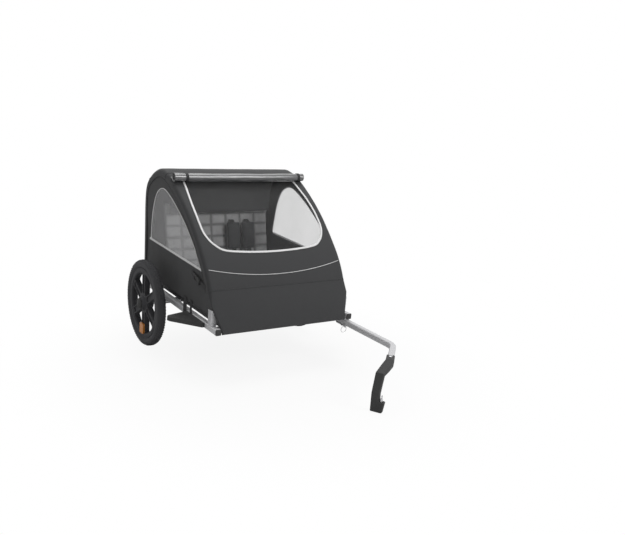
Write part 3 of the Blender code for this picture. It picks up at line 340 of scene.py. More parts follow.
@kept
def rolled_vinyl(name):
    """Smoky glossy plastic with long soft folds, with painted highlights and shade along them."""
    paint = Paint(name, (0.085, 0.085, 0.088), 0.16)
    folds_and_painted_shade = paint.noise(16, 3, (1, 4, 4))
    # The folds' noise also sets the colour, from about a third to twice the base: painted highlights and
    # shade along the folds.
    paint.set(("Base Color", paint.tint(folds_and_painted_shade, 0.35, 2.0)), ("Roughness", paint.noise(60, 3) * 0.16 + 0.10),
              ("Coat Weight", 1.0))
    paint.bump(folds_and_painted_shade + paint.noise(130) * 0.15, 0.0022, 0.4)
    return paint


@kept
def silver_paint(name):
    """Satin silver paint with a fine flake."""
    paint = Paint(name, colours().silver, 0.36, 0.35)
    flake = paint.noise(1400, 1)
    paint.set(("Base Color", paint.tint(flake * 0.5 + paint.noise(14, 3) * 0.5, 0.90, 1.12)),
              ("Roughness", paint.noise(20, 4) * 0.12 + 0.32))
    paint.bump(flake, 0.00005, 0.15)
    return paint


@kept
def zinc_steel(name):
    """Bright zinc-plated steel with fine drawn lines."""
    paint = Paint(name, (0.60, 0.60, 0.61), 0.3, 1.0)
    line = paint.noise(160, 3, (0.2, 6, 6))
    paint.set(("Base Color", paint.tint(line, 0.78, 1.15)), ("Roughness", line * 0.25 + 0.18))
    paint.bump(line, 0.0001, 0.4)
    return paint


@kept
def black_plastic(name):
    """Moulded black plastic with a fine grain."""
    paint = Paint(name, colours().plastic, 0.42)
    grain = paint.noise(520, 3)
    paint.set(("Base Color", paint.tint(paint.noise(20, 4), 0.75, 1.5)), ("Roughness", grain * 0.22 + 0.32))
    paint.bump(grain, 0.0002, 0.5)
    return paint


@kept
def moulded_wheel(name):
    """Glass-filled plastic of the wheels, a little greyer than the rest."""
    paint = Paint(name, (0.044, 0.045, 0.047), 0.38)
    grain = paint.noise(420, 3)
    paint.set(("Base Color", paint.tint(paint.noise(26, 4) * 0.7 + grain * 0.3, 0.70, 1.45)),
              ("Roughness", grain * 0.2 + 0.30))
    paint.bump(grain, 0.0002, 0.5)
    return paint


@kept
def tyre_rubber(name):
    """Matt rubber, lighter and darker, and a little rougher, in large soft patches."""
    paint = Paint(name, colours().rubber, 0.85)
    rubber_patches, grain = paint.noise(26, 5), paint.noise(800)
    paint.set(("Base Color", paint.tint(rubber_patches * 0.7 + grain * 0.3, 0.45, 1.85)),
              ("Roughness", rubber_patches * 0.15 + 0.74))
    paint.bump(grain, 0.0003, 0.6)
    return paint


@kept
def amber_reflector(name):
    """Amber lens over small prisms."""
    paint = Paint(name, colours().reflector, 0.16)
    cell = paint.node("ShaderNodeTexVoronoi", {}, {"Vector": paint.place, "Scale": 420, "Randomness": 0.0},
                      "Distance")
    paint.set(("Base Color", paint.tint(cell * 1.4, 1.25, 0.72)), ("Coat Weight", 0.8))
    paint.bump(cell, 0.0008, 0.6)
    return paint


FINISHES = {"silver_paint": silver_paint, "zinc_steel": zinc_steel, "black_plastic": black_plastic,
            "moulded_wheel": moulded_wheel, "tyre_rubber": tyre_rubber, "amber_reflector": amber_reflector}


def body_point(p):
    """A point of the body frame in the row frame."""
    return BODY @ Vector(p)


def keep(piece, material, body="root", nodes=()):
    """Gives a finished piece its material and body, and hides the nodes that it stands for."""
    piece.data.materials.clear()
    piece.data.materials.append(material)
    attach(piece, body)
    if nodes:
        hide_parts(*nodes)
    return piece


def select(piece):
    """Makes one piece the only selected and active one."""
    bpy.ops.object.select_all(action="DESELECT")
    piece.select_set(True)
    bpy.context.view_layer.objects.active = piece


def object_of(name, bm):
    """A named object of a mesh that is drawn in the row frame."""
    mesh = bpy.data.meshes.new(name)
    bm.to_mesh(mesh)
    bm.free()
    piece = bpy.data.objects.new(name, mesh)
    bpy.context.scene.collection.objects.link(piece)
    return piece


def settle(piece, angle=40):
    """Shades a finished piece smooth up to an angle."""
    select(piece)
    bpy.ops.object.shade_smooth_by_angle(angle=math.radians(angle))
    return piece


def piece_of(name, bm, angle=40):
    """A named object with its faces outwards, shaded smooth up to an angle."""
    bmesh.ops.recalc_face_normals(bm, faces=bm.faces)
    return settle(object_of(name, bm), angle)


def block(name, size, at=(0, 0, 0)):
    """A box cut into five along each of its edges, as the start of a moulded piece."""
    bpy.ops.mesh.primitive_cube_add(size=1, location=at)
    piece = bpy.context.object
    piece.name = name
    piece.scale = size
    bpy.ops.object.transform_apply(location=True, rotation=True, scale=True)
    with editing(piece):
        bpy.ops.mesh.subdivide(number_cuts=4)
        bpy.ops.mesh.select_all(action="DESELECT")
    return piece


def press(piece, picked, *steps):
    """Insets the picked faces and pushes them, once for each step of (inset, way)."""
    for face in piece.data.polygons:
        face.select = picked(face.center)
    with editing(piece, None):
        for inset, way in steps:
            bpy.ops.mesh.inset(thickness=inset)
            bpy.ops.mesh.extrude_region_move(TRANSFORM_OT_translate={"value": way})


def bevel(piece, width, segments, angle=40):
    """Rounds the edges of a piece that are sharper than an angle."""
    return apply(piece, "BEVEL", width=width, segments=segments, limit_method="ANGLE",
                 angle_limit=math.radians(angle))


@contextlib.contextmanager
def editing(piece, pick="SELECT"):
    """Edit mode on one piece, with all of it picked, none of it, or what is picked already."""
    select(piece)
    bpy.ops.object.mode_set(mode="EDIT")
    if pick:
        bpy.ops.mesh.select_all(action=pick)
    yield
    bpy.ops.object.mode_set(mode="OBJECT")


def apply(piece, kind, **settings):
    """Adds a modifier, sets it and applies it."""
    modifier = piece.modifiers.new(kind.title(), kind)
    for name, value in settings.items():
        setattr(modifier, name, value)
    select(piece)
    bpy.ops.object.modifier_apply(modifier=modifier.name)
    return piece


def smooth_line(points, step, closed=False):
    """Points about one step apart on a smooth curve through the given ones."""
    points = [Vector(p) for p in points]
    last = len(points) - 1
    pick = (lambda i: points[i % len(points)]) if closed else (lambda i: points[max(0, min(last, i))])
    out = []
    for i in range(len(points) if closed else last):
        p0, p1, p2, p3 = (pick(i + k) for k in (-1, 0, 1, 2))
        count = max(1, round((p2 - p1).length / step))
        for k in range(count):
            t = k / count
            out.append(0.5 * (2 * p1 + (p2 - p0) * t + (2 * p0 - 5 * p1 + 4 * p2 - p3) * t * t
                              + (3 * p1 - p0 - 3 * p2 + p3) * t ** 3))
    return out if closed else out + [points[last]]


# Stage and camera


class TRAILER_OT_stage(bpy.types.Operator):
    """Sets up the floor, the lights and the photograph's camera"""
    bl_idname = "trailer.stage"
    bl_label = "Stage"

    def execute(self, context):
        scene = context.scene
        scene.view_settings.view_transform = "Standard"
        bpy.ops.mesh.primitive_plane_add(size=40, location=(0, 0, -0.0004))
        floor = context.object
        floor.name = "studio_floor"
        paint = Paint("studio_white", (0.86, 0.86, 0.86), 0.9)
        white = paint.node("ShaderNodeEmission", {}, {"Color": (1, 1, 1, 1), "Strength": 1.0})
        seen = paint.node("ShaderNodeLightPath", {}, {}, "Is Camera Ray")
        away = paint.node("ShaderNodeVectorMath", {"operation": "LENGTH"}, {0: paint.place}, "Value")
        ends = {"Value": away, "From Min": 0.2, "From Max": 1.2, "To Min": 0.88, "To Max": 1.0}
        glow = paint.node("ShaderNodeMapRange", {"interpolation_type": "SMOOTHSTEP"}, ends)
        diffuse = Value(paint, paint.shader.outputs[0])
        mixed = paint.node("ShaderNodeMixShader", {}, {0: seen * glow, 1: diffuse, 2: white})
        paint.put(paint.tree.nodes["Material Output"].inputs["Surface"], mixed)
        floor.data.materials.append(paint.material)

        world = bpy.data.worlds.new("studio")
        world.use_nodes = True
        scene.world = world
        sky = Nodes(world.node_tree)
        camera, through, mirror = (sky.node("ShaderNodeLightPath", {}, {}, "Is " + kind + " Ray")
                                   for kind in ("Camera", "Transmission", "Glossy"))
        shown = sky.node("ShaderNodeMath", {"operation": "ADD", "use_clamp": True},
                         {0: camera, 1: through.maths("MAXIMUM", mirror)})
        backdrop = sky.tree.nodes["Background"].inputs
        sky.put(backdrop["Color"], (1, 1, 1, 1))
        sky.put(backdrop["Strength"],
                sky.node("ShaderNodeMapRange", {}, {"Value": shown, "To Min": DIM, "To Max": 1.0}))

        for name, at, size, power in LAMPS:
            bpy.ops.object.light_add(type="AREA", location=at)
            lamp = context.object
            lamp.name = name + "_lamp"
            lamp.data.size = size
            lamp.data.energy = power
            lamp.rotation_euler = (LIT_SPOT - Vector(at)).to_track_quat("-Z", "Y").to_euler()

        bpy.ops.object.camera_add()
        camera = context.object
        across = AHEAD.cross(ABOVE)
        turn = Matrix((across, ABOVE, -AHEAD)).transposed().to_4x4()
        camera.matrix_world = BODY @ Matrix.Translation(EYE) @ turn
        camera.data.sensor_fit = "HORIZONTAL"
        camera.data.lens = camera.data.sensor_width * FOCAL / FRAME[0]
        camera.data.shift_x = (FRAME[0] / 2 - CENTRE[0]) / FRAME[0]
        camera.data.shift_y = (CENTRE[1] - FRAME[1] / 2) / FRAME[0]
        scene.camera = camera
        return {"FINISHED"}


# Canopy and other cloth


def profile(first=0, last=len(PROFILE) - 1, step=0.012):
    """Places along a stretch of the side profile, each with its inward direction."""
    line = smooth_line([(0, y, z) for y, z in PROFILE], step)
    spots = []
    for i, p in enumerate(line):
        along = (line[min(i + 1, len(line) - 1)] - line[max(i - 1, 0)]).normalized()
        spots.append((p, Vector((0, along.z, -along.y))))
    ends = [min(range(len(spots)), key=lambda i, k=k: (spots[i][0] - Vector((0, *PROFILE[k]))).length)
            for k in (first, last)]
    return spots[ends[0]:ends[1] + 1]


def front_at(z):
    """The front of the profile at a height, with its inward direction."""
    spots = profile(step=0.006)
    for (p, inward), (q, _) in zip(spots, spots[1:]):
        if p.z <= z <= q.z:
            return p.lerp(q, (z - p.z) / (q.z - p.z)), inward
    raise ValueError(f"the front of the canopy doesn't reach {z}")


def half_width(p):
    share = min(1.0, max(0.0, (DRAW_IN_Z - p.z) / (DRAW_IN_Z - PROFILE[0][1]))) if p.y < 0 else 0.0
    return HALF + (FOOT_HALF - HALF) * share


def corner_at(p):
    seam = PROFILE[SEAM][1]
    share = min(1.0, max(0.0, (seam - p.z) / (seam - DRAW_IN_Z))) if p.y < 0 else 0.0
    return CORNER + (THIN_CORNER - CORNER) * share


def sag_at(p, x):
    """How far the cloth sinks between the arches, away from the roof's crossbar and the seams."""
    bar = Vector((0, *PROFILE[ROOF_TOP]))
    free = 1 - math.exp(-((p - bar).length / 0.075) ** 2)
    edge = max(0.0, 1 - (x / (HALF - CORNER)) ** 2)
    return sizes().sag * free * edge * (0.45 if p.y < PROFILE[ROOF_SEAM][0] else 1.0)


def crease_at(p, x):
    """Soft creases, stronger towards the edges where the cloth is sewn."""
    spot = Vector((x, p.y, p.z))
    pull = 0.6 + 0.8 * min(1.0, abs(x) / HALF) ** 3
    return sizes().crease * pull * (noise.noise(spot * 8) + 0.5 * noise.noise(spot * 19 + Vector((3, 1, 7))))


def on_cover(p, inward, x, depth=0.0):
    """A point of the cover's outer face in the row frame, depth metres under it."""
    return body_point(p + Vector((x, 0, 0)) + inward * (depth + sag_at(p, x) + crease_at(p, x)))


def mirrored(half):
    """Both halves of a section of (x, depth), from one side to the other."""
    return [(-x, d) for x, d in reversed(half[1:])] + half


def section(p, skirt, columns=22):
    """Half of a cover's section, as (x, depth) from the middle out, over the arch and down its side."""
    wide, turn = half_width(p), corner_at(p)
    half = [((wide - turn) * k / columns, 0.0) for k in range(columns)]
    half += [(wide - turn + turn * math.sin(a), turn - turn * math.cos(a))
             for a in (math.pi / 12 * k for k in range(7))]
    return half + [(wide, turn + skirt * k / 3) for k in (1, 2, 3)]


def sheet_of(name, rows, thick, inside=True):
    """A closed sheet of cloth through rows of points, its wall on the inner side."""
    bm = bmesh.new()
    made = [[bm.verts.new(p) for p in row] for row in rows]
    for low, high in zip(made, made[1:]):
        for k in range(len(low) - 1):
            bm.faces.new((low[k], low[k + 1], high[k + 1], high[k]))
    return apply(object_of(name, bm), "SOLIDIFY", thickness=thick, offset=-1.0 if inside else 1.0,
                 use_even_offset=True)


def cover(name, spots, skirt, thick, under=0.0, edge=None):
    """A sheet over the profile: the whole section, or only its flat middle as far as edge."""
    rows = []
    for p, inward in spots:
        half = [(edge * k / 22, 0.0) for k in range(23)] if edge else section(p, skirt)
        rows.append([on_cover(p, inward, x, d + under) for x, d in mirrored(half)])
    return sheet_of(name, rows, thick)


def block_of(name, outline, low, high):
    """A cutter: a closed outline of points, carried from low to high along one direction."""
    bm = bmesh.new()
    rings = [[bm.verts.new(p + shift) for p in outline] for shift in (low, high)]
    for k in range(len(outline)):
        n = (k + 1) % len(outline)
        bm.faces.new((rings[0][k], rings[0][n], rings[1][n], rings[1][k]))
    bm.faces.new(rings[0])
    bm.faces.new(rings[1])
    return piece_of(name, bm)


def carve(piece, cutter, operation="DIFFERENCE"):
    """Cuts or keeps what a cutter covers, and throws the cutter away."""
    apply(piece, "BOOLEAN", operation=operation, solver="EXACT", object=cutter)
    bpy.data.objects.remove(cutter)
    return piece


def area_of(piece):
    """One side of a thin closed sheet, in square metres."""
    return sum(face.area for face in piece.data.polygons) / 2


def run_of(points):
    """The length of a line through points."""
    return sum((q - p).length for p, q in zip(points, points[1:]))


def spans(outline):
    """How far an outline of pairs reaches along each of its two axes."""
    return [max(p[k] for p in outline) - min(p[k] for p in outline) for k in (0, 1)]


def declare_sheet(piece, flat):
    """Takes the smaller of a sheet's own area and the width times the length of the piece that it is cut
    from, and keeps neither.
    """
    wide, long = flat
    min(area_of(piece), wide * long)


def tube(name, points, radius, material, closed=False, body="root"):
    """Piping or wire of a round section along points of the row frame."""
    curve = bpy.data.curves.new(name, "CURVE")
    curve.dimensions = "3D"
    curve.bevel_depth = radius
    curve.bevel_resolution = 2
    curve.use_fill_caps = not closed
    spline = curve.splines.new("POLY")
    spline.points.add(len(points) - 1)
    for spot, p in zip(spline.points, points):
        spot.co = (*p, 1)
    spline.use_cyclic_u = closed
    bpy.context.scene.collection.objects.link(bpy.data.objects.new(name, curve))
    select(bpy.data.objects[name])
    bpy.ops.object.convert(target="MESH")
    piece = settle(bpy.context.object, 60)
    return keep(piece, material, body)


def ribbon(name, points, outs, wide, thick, material, closed=False, body="root"):
    """Flat tape along points of the row frame; outs are the ways that its outer face looks."""
    half, deep = wide / 2, thick / 2
    edge = min(deep, 0.0005)
    flat = [(-half + edge, -deep), (half - edge, -deep), (half, 0), (half - edge, deep), (-half + edge, deep),
            (-half, 0)]
    bm = bmesh.new()
    rings = []
    count = len(points)
    for i, p in enumerate(points):
        before = points[i - 1] if closed or i else p
        after = points[(i + 1) % count] if closed or i < count - 1 else p
        along = (after - before).normalized()
        side = along.cross(outs[i]).normalized()
        rise = side.cross(along).normalized()
        rings.append([bm.verts.new(p + side * a + rise * b) for a, b in flat])
    for low, high in zip(rings, rings[1:] + ([rings[0]] if closed else [])):
        for k in range(len(low)):
            n = (k + 1) % len(low)
            bm.faces.new((low[k], low[n], high[n], high[k]))
    if not closed:
        bm.faces.new(rings[0])
        bm.faces.new(rings[-1])
    return keep(piece_of(name, bm, 50), material, body)


def front_edge(step=0.02):
    """The front window's edge from its top on one side, round its foot, to its top on the other."""
    half = [(across * HALF, up * PROFILE[ROOF_TOP][1]) for across, up in FRONT_WINDOW]
    points = [(x, 0, z) for x, z in half] + [(-x, 0, z) for x, z in reversed(half[:-1])]
    return smooth_line(points, step)


def flat_side(points, side, depth=0.0):
    """Points (y, z) of the body frame on a side of the trailer, depth metres in from its face."""
    return [body_point((side * (HALF - depth), y, z)) for y, z in points]


def side_wave(y, z):
    """How far the side cloth leans in from its flat plane."""
    spot = Vector((1.0, y, z))
    hold = math.sin(math.pi * min(1.0, max(0.0, (z - HEM_Z) / 0.30)))
    return 0.0018 * hold + sizes().crease * 1.2 * (noise.noise(spot * 7) + 0.5 * noise.noise(spot * 17))


def side_block(outline, side):
    """A cutter through one side of the trailer."""
    return block_of("side_block", outline, Vector((side * 0.2, 0, 0)), Vector((side * 0.5, 0, 0)))


def side_sheet(name, outline, side, depth, thick):
    """An upright sheet with an outline of (y, z), on a grid fine enough to wave."""
    ys, zs = [p[0] for p in outline], [p[1] for p in outline]
    pitch = 0.013
    columns = int((max(ys) - min(ys)) / pitch) + 3
    lines = int((max(zs) - min(zs)) / pitch) + 3
    rows = [flat_side([(min(ys) + (k - 1) * pitch, min(zs) + (i - 1) * pitch) for k in range(columns)],
                      side, depth) for i in range(lines)]
    piece = sheet_of(name, rows, thick, side > 0)
    edge = [body_point((0, y, z)) for y, z in outline]
    return carve(piece, side_block(edge, side), "INTERSECT")


def lean_in(piece, side):
    """Moves each point of an upright sheet in by its wave."""
    back = BODY.inverted()
    for v in piece.data.vertices:
        p = back @ v.co
        v.co.x -= side * side_wave(p.y, p.z)
    return settle(piece)


class TRAILER_OT_canopy(bpy.types.Operator):
    """Makes the canopy over both arches with its front opening, and the screen behind it"""
    bl_idname = "trailer.canopy"
    bl_label = "Canopy"

    def execute(self, context):
        thick = sizes().cloth
        canopy = cover("canopy", profile(SEAM), COVER_SKIRT, thick)
        low, high = Vector((0, *PROFILE[2])), Vector((0, *PROFILE[ROOF_SEAM]))
        along = (high - low).normalized()
        out = Vector((0, -along.z, along.y))
        turn = BODY.to_3x3()
        edge = []
        for spot in front_edge():
            p = front_at(spot.z)[0] + Vector((spot.x, 0, 0))
            edge.append(body_point(p - out * (p - low).dot(out)))
        carve(canopy, block_of("opening", edge, turn @ out * -0.06, turn @ out * 0.15))
        keep(settle(canopy), coated_cloth(),
             nodes=("front_cover", "roof_cover", "rear_cover"))

        line, outs = [], []
        for spot in front_edge(0.012):
            p, inward = front_at(spot.z)
            line.append(on_cover(p, inward, spot.x, -0.0004))
            outs.append(turn @ -inward)
        piping = ribbon("front_window_piping", line, outs, 3 * sizes().piping, 0.0030, reflective_piping())
        stripe = []
        for k in range(49):
            x = (HALF - CORNER) * (k - 24) / 24
            p, inward = front_at(STRIPE_Z + STRIPE_RISE * (x / HALF) ** 2)
            stripe.append(on_cover(p, inward, x, -0.0004))
        stripe = tube("front_stripe", stripe, 0.0012, reflective_piping())
        for k, word in ((SEAM, "front"), (ROOF_SEAM, "roof"), (REAR_SEAM, "rear")):
            p, inward = min(profile(), key=lambda spot, k=k: (spot[0] - Vector((0, *PROFILE[k]))).length)
            line = [on_cover(p, inward, x, d - 0.0003) for x, d in mirrored(section(p, COVER_SKIRT))]
            tube(word + "_seam", line, 0.0014, coated_cloth())
        flat = 2 * (HALF + CORNER * (math.pi / 2 - 1) + COVER_SKIRT), run_of([p for p, _ in profile(SEAM)])
        declare_sheet(canopy, flat)

        spots = profile(SEAM, ROOF_SEAM)[2:-2]
        screen = cover("front_screen", spots, 0, SCREEN_THICK, thick + 0.0008, SCREEN_HALF)
        keep(settle(screen), clear_sheet(0.35, 0.05), nodes=("front_window",))
        declare_sheet(screen, (2 * SCREEN_HALF, run_of([p for p, _ in spots])))
        return {"FINISHED"}


class TRAILER_OT_front_panel(bpy.types.Operator):
    """Makes the lower front panel with its bound hem"""
    bl_idname = "trailer.front_panel"
    bl_label = "Front panel"

    def execute(self, context):
        rows = []
        for p, inward in profile(0, SEAM, 0.010):
            rise = (p.z - PROFILE[0][1]) / (PROFILE[SEAM][1] - PROFILE[0][1])
            rows.append([on_cover(p, inward, x, d - 0.004 * math.sin(math.pi * rise) * (1 - (x / HALF) ** 4))
                         for x, d in mirrored(section(p, PANEL_SKIRT))])
        panel = keep(settle(sheet_of("front_cloth", rows, sizes().cloth)), coated_cloth(),
                     nodes=("front_panel",))
        hem = tube("front_hem", rows[0], 0.0022, coated_cloth())
        flat = 2 * (HALF + CORNER * (math.pi / 2 - 1) + PANEL_SKIRT), run_of([p for p, _ in profile(0, SEAM)])
        declare_sheet(panel, flat)
        return {"FINISHED"}


def side_buckle(side, word):
    """The side-release buckle at the lower front corner of a side panel."""
    out, y, z = SIDE_BUCKLE
    buckle = block("side_buckle_" + word, (0.0075, 0.046, 0.025))
    press(buckle, lambda p: p.x * side > 0.003 and 0.002 < abs(p.z) < 0.0085 and p.y > -0.002,
          (0.0008, (-side * 0.003, 0, 0)))
    bevel(buckle, 0.0012, 2)
    buckle.data.transform(BODY @ Matrix.Translation((side * (HALF + out), y, z))
                          @ Matrix.Rotation(BUCKLE_TURN, 4, "X"))
    return keep(settle(buckle), black_plastic())


def on_side_cloth(points, side, out=0.0):
    """Points (y, z) of the body frame on the side cloth, out metres off its face."""
    return [body_point((side * (HALF - sizes().cloth + out - side_wave(y, z)), y, z)) for y, z in points]


class TRAILER_OT_side_cloth(bpy.types.Operator):
    """Makes the two side panels, their windows, seams and piping"""
    bl_idname = "trailer.side_cloth"
    bl_label = "Side panels"

    def execute(self, context):
        thick = sizes().cloth
        edge = [p + inward * (corner_at(p) + 0.002) for p, inward in profile()]
        edge = [(p.y, p.z) for p in edge if p.z > NOTCH_Z + 0.012]
        slope = (PROFILE[SEAM][0] - PROFILE[0][0]) / (PROFILE[SEAM][1] - PROFILE[0][1])
        start = edge[0][0] - (edge[0][1] - NOTCH_Z) * slope
        front, rear = FRONT_POST_Y + 0.021, REAR_POST_Y - 0.021
        outline = [(front, HEM_Z), (front, NOTCH_Z), (start, NOTCH_Z), *edge, (edge[-1][0], NOTCH_Z),
                   (rear, NOTCH_Z), (rear, HEM_Z)]
        window = [(p.x, p.y) for p in smooth_line([(y, z, 0) for y, z in SIDE_WINDOW], 0.012, closed=True)]
        middle = sum((Vector(p) for p in window), Vector((0, 0))) / len(window)
        wider = [tuple(Vector(p) + (Vector(p) - middle).normalized() * 0.007) for p in window]
        sewn = [p + inward * (corner_at(p) + 0.020) for p, inward in profile(SEAM)]
        for side, word in ((1, "left"), (-1, "right")):
            cloth = side_sheet("side_cloth_" + word, outline, side, thick + 0.0003, thick)
            hole = [body_point((0, y, z)) for y, z in window]
            carve(cloth, side_block(hole, side))
            keep(lean_in(cloth, side), coated_cloth(), nodes=("side_panel_" + word,))
            clear = side_sheet("side_clear_" + word, wider, side, 2 * thick + CLEAR_THICK, CLEAR_THICK)
            keep(lean_in(clear, side), clear_sheet(1.0, 0.20), nodes=("side_window_" + word,))
            outward = Vector((side, 0, 0))
            band = on_side_cloth([SIDE_BAND[0].lerp(SIDE_BAND[1], k / 30) for k in range(31)], side, 0.0012)
            hem = flat_side([(front, HEM_Z), (-0.2, HEM_Z), (0, HEM_Z), (rear, HEM_Z)], side, 0.0018)
            seam = flat_side([(p.y, p.z) for p in sewn], side, -0.0002)
            trims = [tube("side_piping_" + word, on_side_cloth(window, side), sizes().piping * 0.62,
                          reflective_piping(), True),
                     ribbon("side_band_" + word, band, [outward] * len(band), 0.0105, 0.0020,
                            reflective_piping()),
                     tube("side_hem_" + word, hem, 0.0022, coated_cloth()),
                     tube("arch_seam_" + word, seam, 0.0013, black_plastic())]
            tab = [body_point((side * (HALF + out), y, z)) for out, y, z in SIDE_TAB]
            ribbon("side_tab_" + word, tab, [outward] * len(tab), 0.020, 0.0012, webbing("Y"))
            side_buckle(side, word)
            declare_sheet(cloth, spans(outline))
            declare_sheet(clear, spans(wider))
        return {"FINISHED"}


# Seat and harness


def seam_distance(p, size, cells):
    """The distance of a place on a cushion to its nearest sewn line."""
    wide, high = size[0] / cells[0], size[1] / cells[1]
    u, v = (p.x + size[0] / 2) % wide, p.y % high
    return min(u, wide - u, v, high - v)


def dome(p, size, cells):
    """The rise of a place within its sewn pillow, from 0 at the seams to 1 in the middle."""
    a = (p.x + size[0] / 2) * cells[0] / size[0] % 1
    b = p.y * cells[1] / size[1] % 1
    return (16 * a * (1 - a) * b * (1 - b)) ** 0.55


def padded_form(name, size, cells, frame_at, swell, voxel=0.005, ease=0.7):
    """A quilted cushion: a thin slab between sewn lines that is blown up by a cloth simulation.

    Its own X runs across, Y along, and Z out of its padded face; frame_at places it in the row frame.
    """
    bm = bmesh.new()
    thick = size[2] * ease
    bmesh.ops.create_cube(bm, size=1, matrix=Matrix.Translation((0, size[1] / 2, thick / 2))
                          @ Matrix.Diagonal((size[0] - 0.006, size[1] - 0.006, thick, 1)))
    bmesh.ops.bevel(bm, geom=bm.edges[:], offset=thick * 0.38, segments=4, profile=0.5, affect="EDGES")
    piece = piece_of(name, bm)
    apply(piece, "REMESH", mode="VOXEL", voxel_size=voxel)
    start = [v.co.copy() for v in piece.data.vertices]
    sewn = [seam_distance(p, size, cells) if p.z > thick * 0.45 else voxel * 3 for p in start]
    group = piece.vertex_groups.new(name="sewn")
    pinned = [i for i, (p, d) in enumerate(zip(start, sewn)) if d < voxel * 0.55 or p.z < thick * 0.2]
    group.add(pinned, 1.0, "REPLACE")
    cloth = piece.modifiers.new("Padding", "CLOTH")
    for name, value in (("quality", 5), ("use_pressure", True), ("uniform_pressure_force", 4),
                        ("vertex_group_mass", "sewn"), ("tension_stiffness", 6),
                        ("compression_stiffness", 6), ("bending_stiffness", 0.2)):
        setattr(cloth.settings, name, value)
    cloth.settings.effector_weights.gravity = 0
    scene = bpy.context.scene
    for step in range(1, 21):
        scene.frame_set(step)
    done = piece.evaluated_get(bpy.context.evaluated_depsgraph_get())
    moved = [v.co.copy() for v in done.data.vertices]
    piece.modifiers.remove(cloth)
    piece.vertex_groups.clear()
    scene.frame_set(1)
    for v, p, q, d in zip(piece.data.vertices, start, moved, sewn):
        push = q - p
        uneven = 1 + 0.35 * noise.noise(p * 9 + Vector((1, 7, 3)))
        limit = swell * uneven * dome(p, size, cells) + 0.0004
        if push.length > limit:
            push *= limit / push.length
        ripple = noise.noise(p * 60) * 0.0012 + noise.noise(p * 25 + Vector((5, 2, 9))) * 0.0024
        sink = 0.0036 * math.exp(-(d / 0.0050) ** 2)
        v.co = p + push + Vector((0, 0, ripple * min(1.0, d / 0.010) - sink if p.z > thick * 0.45 else 0.0))
    # Painted shade for the seat's finish: a 'seam' attribute, 1 on the sewn lines and fading within a few
    # millimetres, that darkens the colour there.
    depth = piece.data.attributes.new("seam", "FLOAT", "POINT")
    depth.data.foreach_set("value", [math.exp(-(d / 0.0065) ** 2) for d in sewn])
    piece.data.transform(frame_at)
    apply(piece, "SUBSURF", levels=1)
    return settle(piece, 180)


def upright_frame(low, high, x=0.0):
    """The place of a cushion whose back lies on a line of the body frame from low to high, as (y, z)."""
    up = Vector((0, high[0] - low[0], high[1] - low[1])).normalized()
    out = Vector((1, 0, 0)).cross(up)
    turn = Matrix((Vector((1, 0, 0)), up, out)).transposed().to_4x4()
    return BODY @ Matrix.Translation((x, *low)) @ turn


class TRAILER_OT_seat(bpy.types.Operator):
    """Makes the quilted seat and back, the shoulder pads, and the harness with its buckle"""
    bl_idname = "trailer.seat"
    bl_label = "Seat"

    def execute(self, context):
        low, top = (SEAT_BACK, FLOOR_TOP + 0.001), (SEAT_BACK + BACK_LEAN, BACK_TOP)
        rise = math.hypot(top[0] - low[0], top[1] - low[1])
        back_at = upright_frame(low, top)
        size = (2 * SEAT_HALF, rise, BACK_THICK)
        back = padded_form("backrest_quilt", size, (7, 7), back_at, 0.017, ease=0.62)
        keep(back, quilted_cloth(), nodes=("backrest",))
        deep = SEAT_BACK - BACK_THICK - 0.004 - SEAT_FRONT
        seat_at = BODY @ Matrix.Translation((0, SEAT_FRONT, FLOOR_TOP + 0.001))
        size = (2 * SEAT_HALF, deep, SEAT_TOP - FLOOR_TOP - 0.012)
        seat = padded_form("seat_quilt", size, (7, 4), seat_at, 0.017, voxel=0.006, ease=0.88)
        keep(seat, quilted_cloth(), nodes=("seat_cushion",))
        face = BACK_THICK + 0.006
        top, middle = PAD_FOOT + PAD_SIZE[1], sum(PAD_X) / 2
        for word, x in zip(("inner", "outer"), PAD_X):
            at = back_at @ Matrix.Translation((x, PAD_FOOT, face + 0.002))
            pad = padded_form("shoulder_pad_" + word + "_soft", PAD_SIZE, (1, 1), at, 0.007, voxel=0.004)
            keep(pad, pad_cloth(), nodes=("shoulder_pad_" + word,))
            path = [(x, top + 0.012, face - 0.016), (x, top + 0.004, face - 0.002),
                    (x, top - 0.03, face + 0.008), (x, PAD_FOOT + 0.02, face + 0.008),
                    (x, PAD_FOOT - 0.012, face + 0.010), (middle + (x - middle) * 0.35, 0.118, face + 0.026),
                    (middle, 0.108, face + 0.036)]
            line = smooth_line(path, 0.008)
            outs = [back_at.to_3x3() @ Vector((0, 0.15, 1)) for p in line]
            ribbon("shoulder_strap_" + word, [back_at @ p for p in line], outs, 0.024, 0.0014, webbing("Z"))
        half = SEAT_HALF - 0.010
        rows = []
        for spot in smooth_line([(0, *p) for p in PANEL], 0.012):
            row = []
            for x in (half * (k - 24) / 24 for k in range(49)):
                wave = 0.0022 * noise.noise(Vector((x * 7 + spot.z * 9, spot.z * 5, 2)))
                row.append(body_point(spot + Vector((x, wave, 0))))
            rows.append(row)
        panel = settle(sheet_of("back_panel", rows, sizes().cloth, False))
        keep(panel, coated_cloth())
        hem = tube("back_panel_hem", rows[-1], 0.0018, coated_cloth())
        declare_sheet(panel, (2 * half, run_of([Vector(p) for p in PANEL])))
        at = back_at @ Vector((middle, 0.100, face + 0.040))
        buckle = block("harness_buckle", (0.044, 0.016, 0.040), at)
        press(buckle, lambda p: p.y - at.y < -0.0075 and abs(p.x - at.x) < 0.014 and abs(p.z - at.z) < 0.014,
              (0.0012, (0, 0.0035, 0)), (0.0012, (0, -0.0030, 0)))
        keep(settle(bevel(buckle, 0.0016, 3)), black_plastic())
        return {"FINISHED"}


# Rolled rain cover, floor and loops


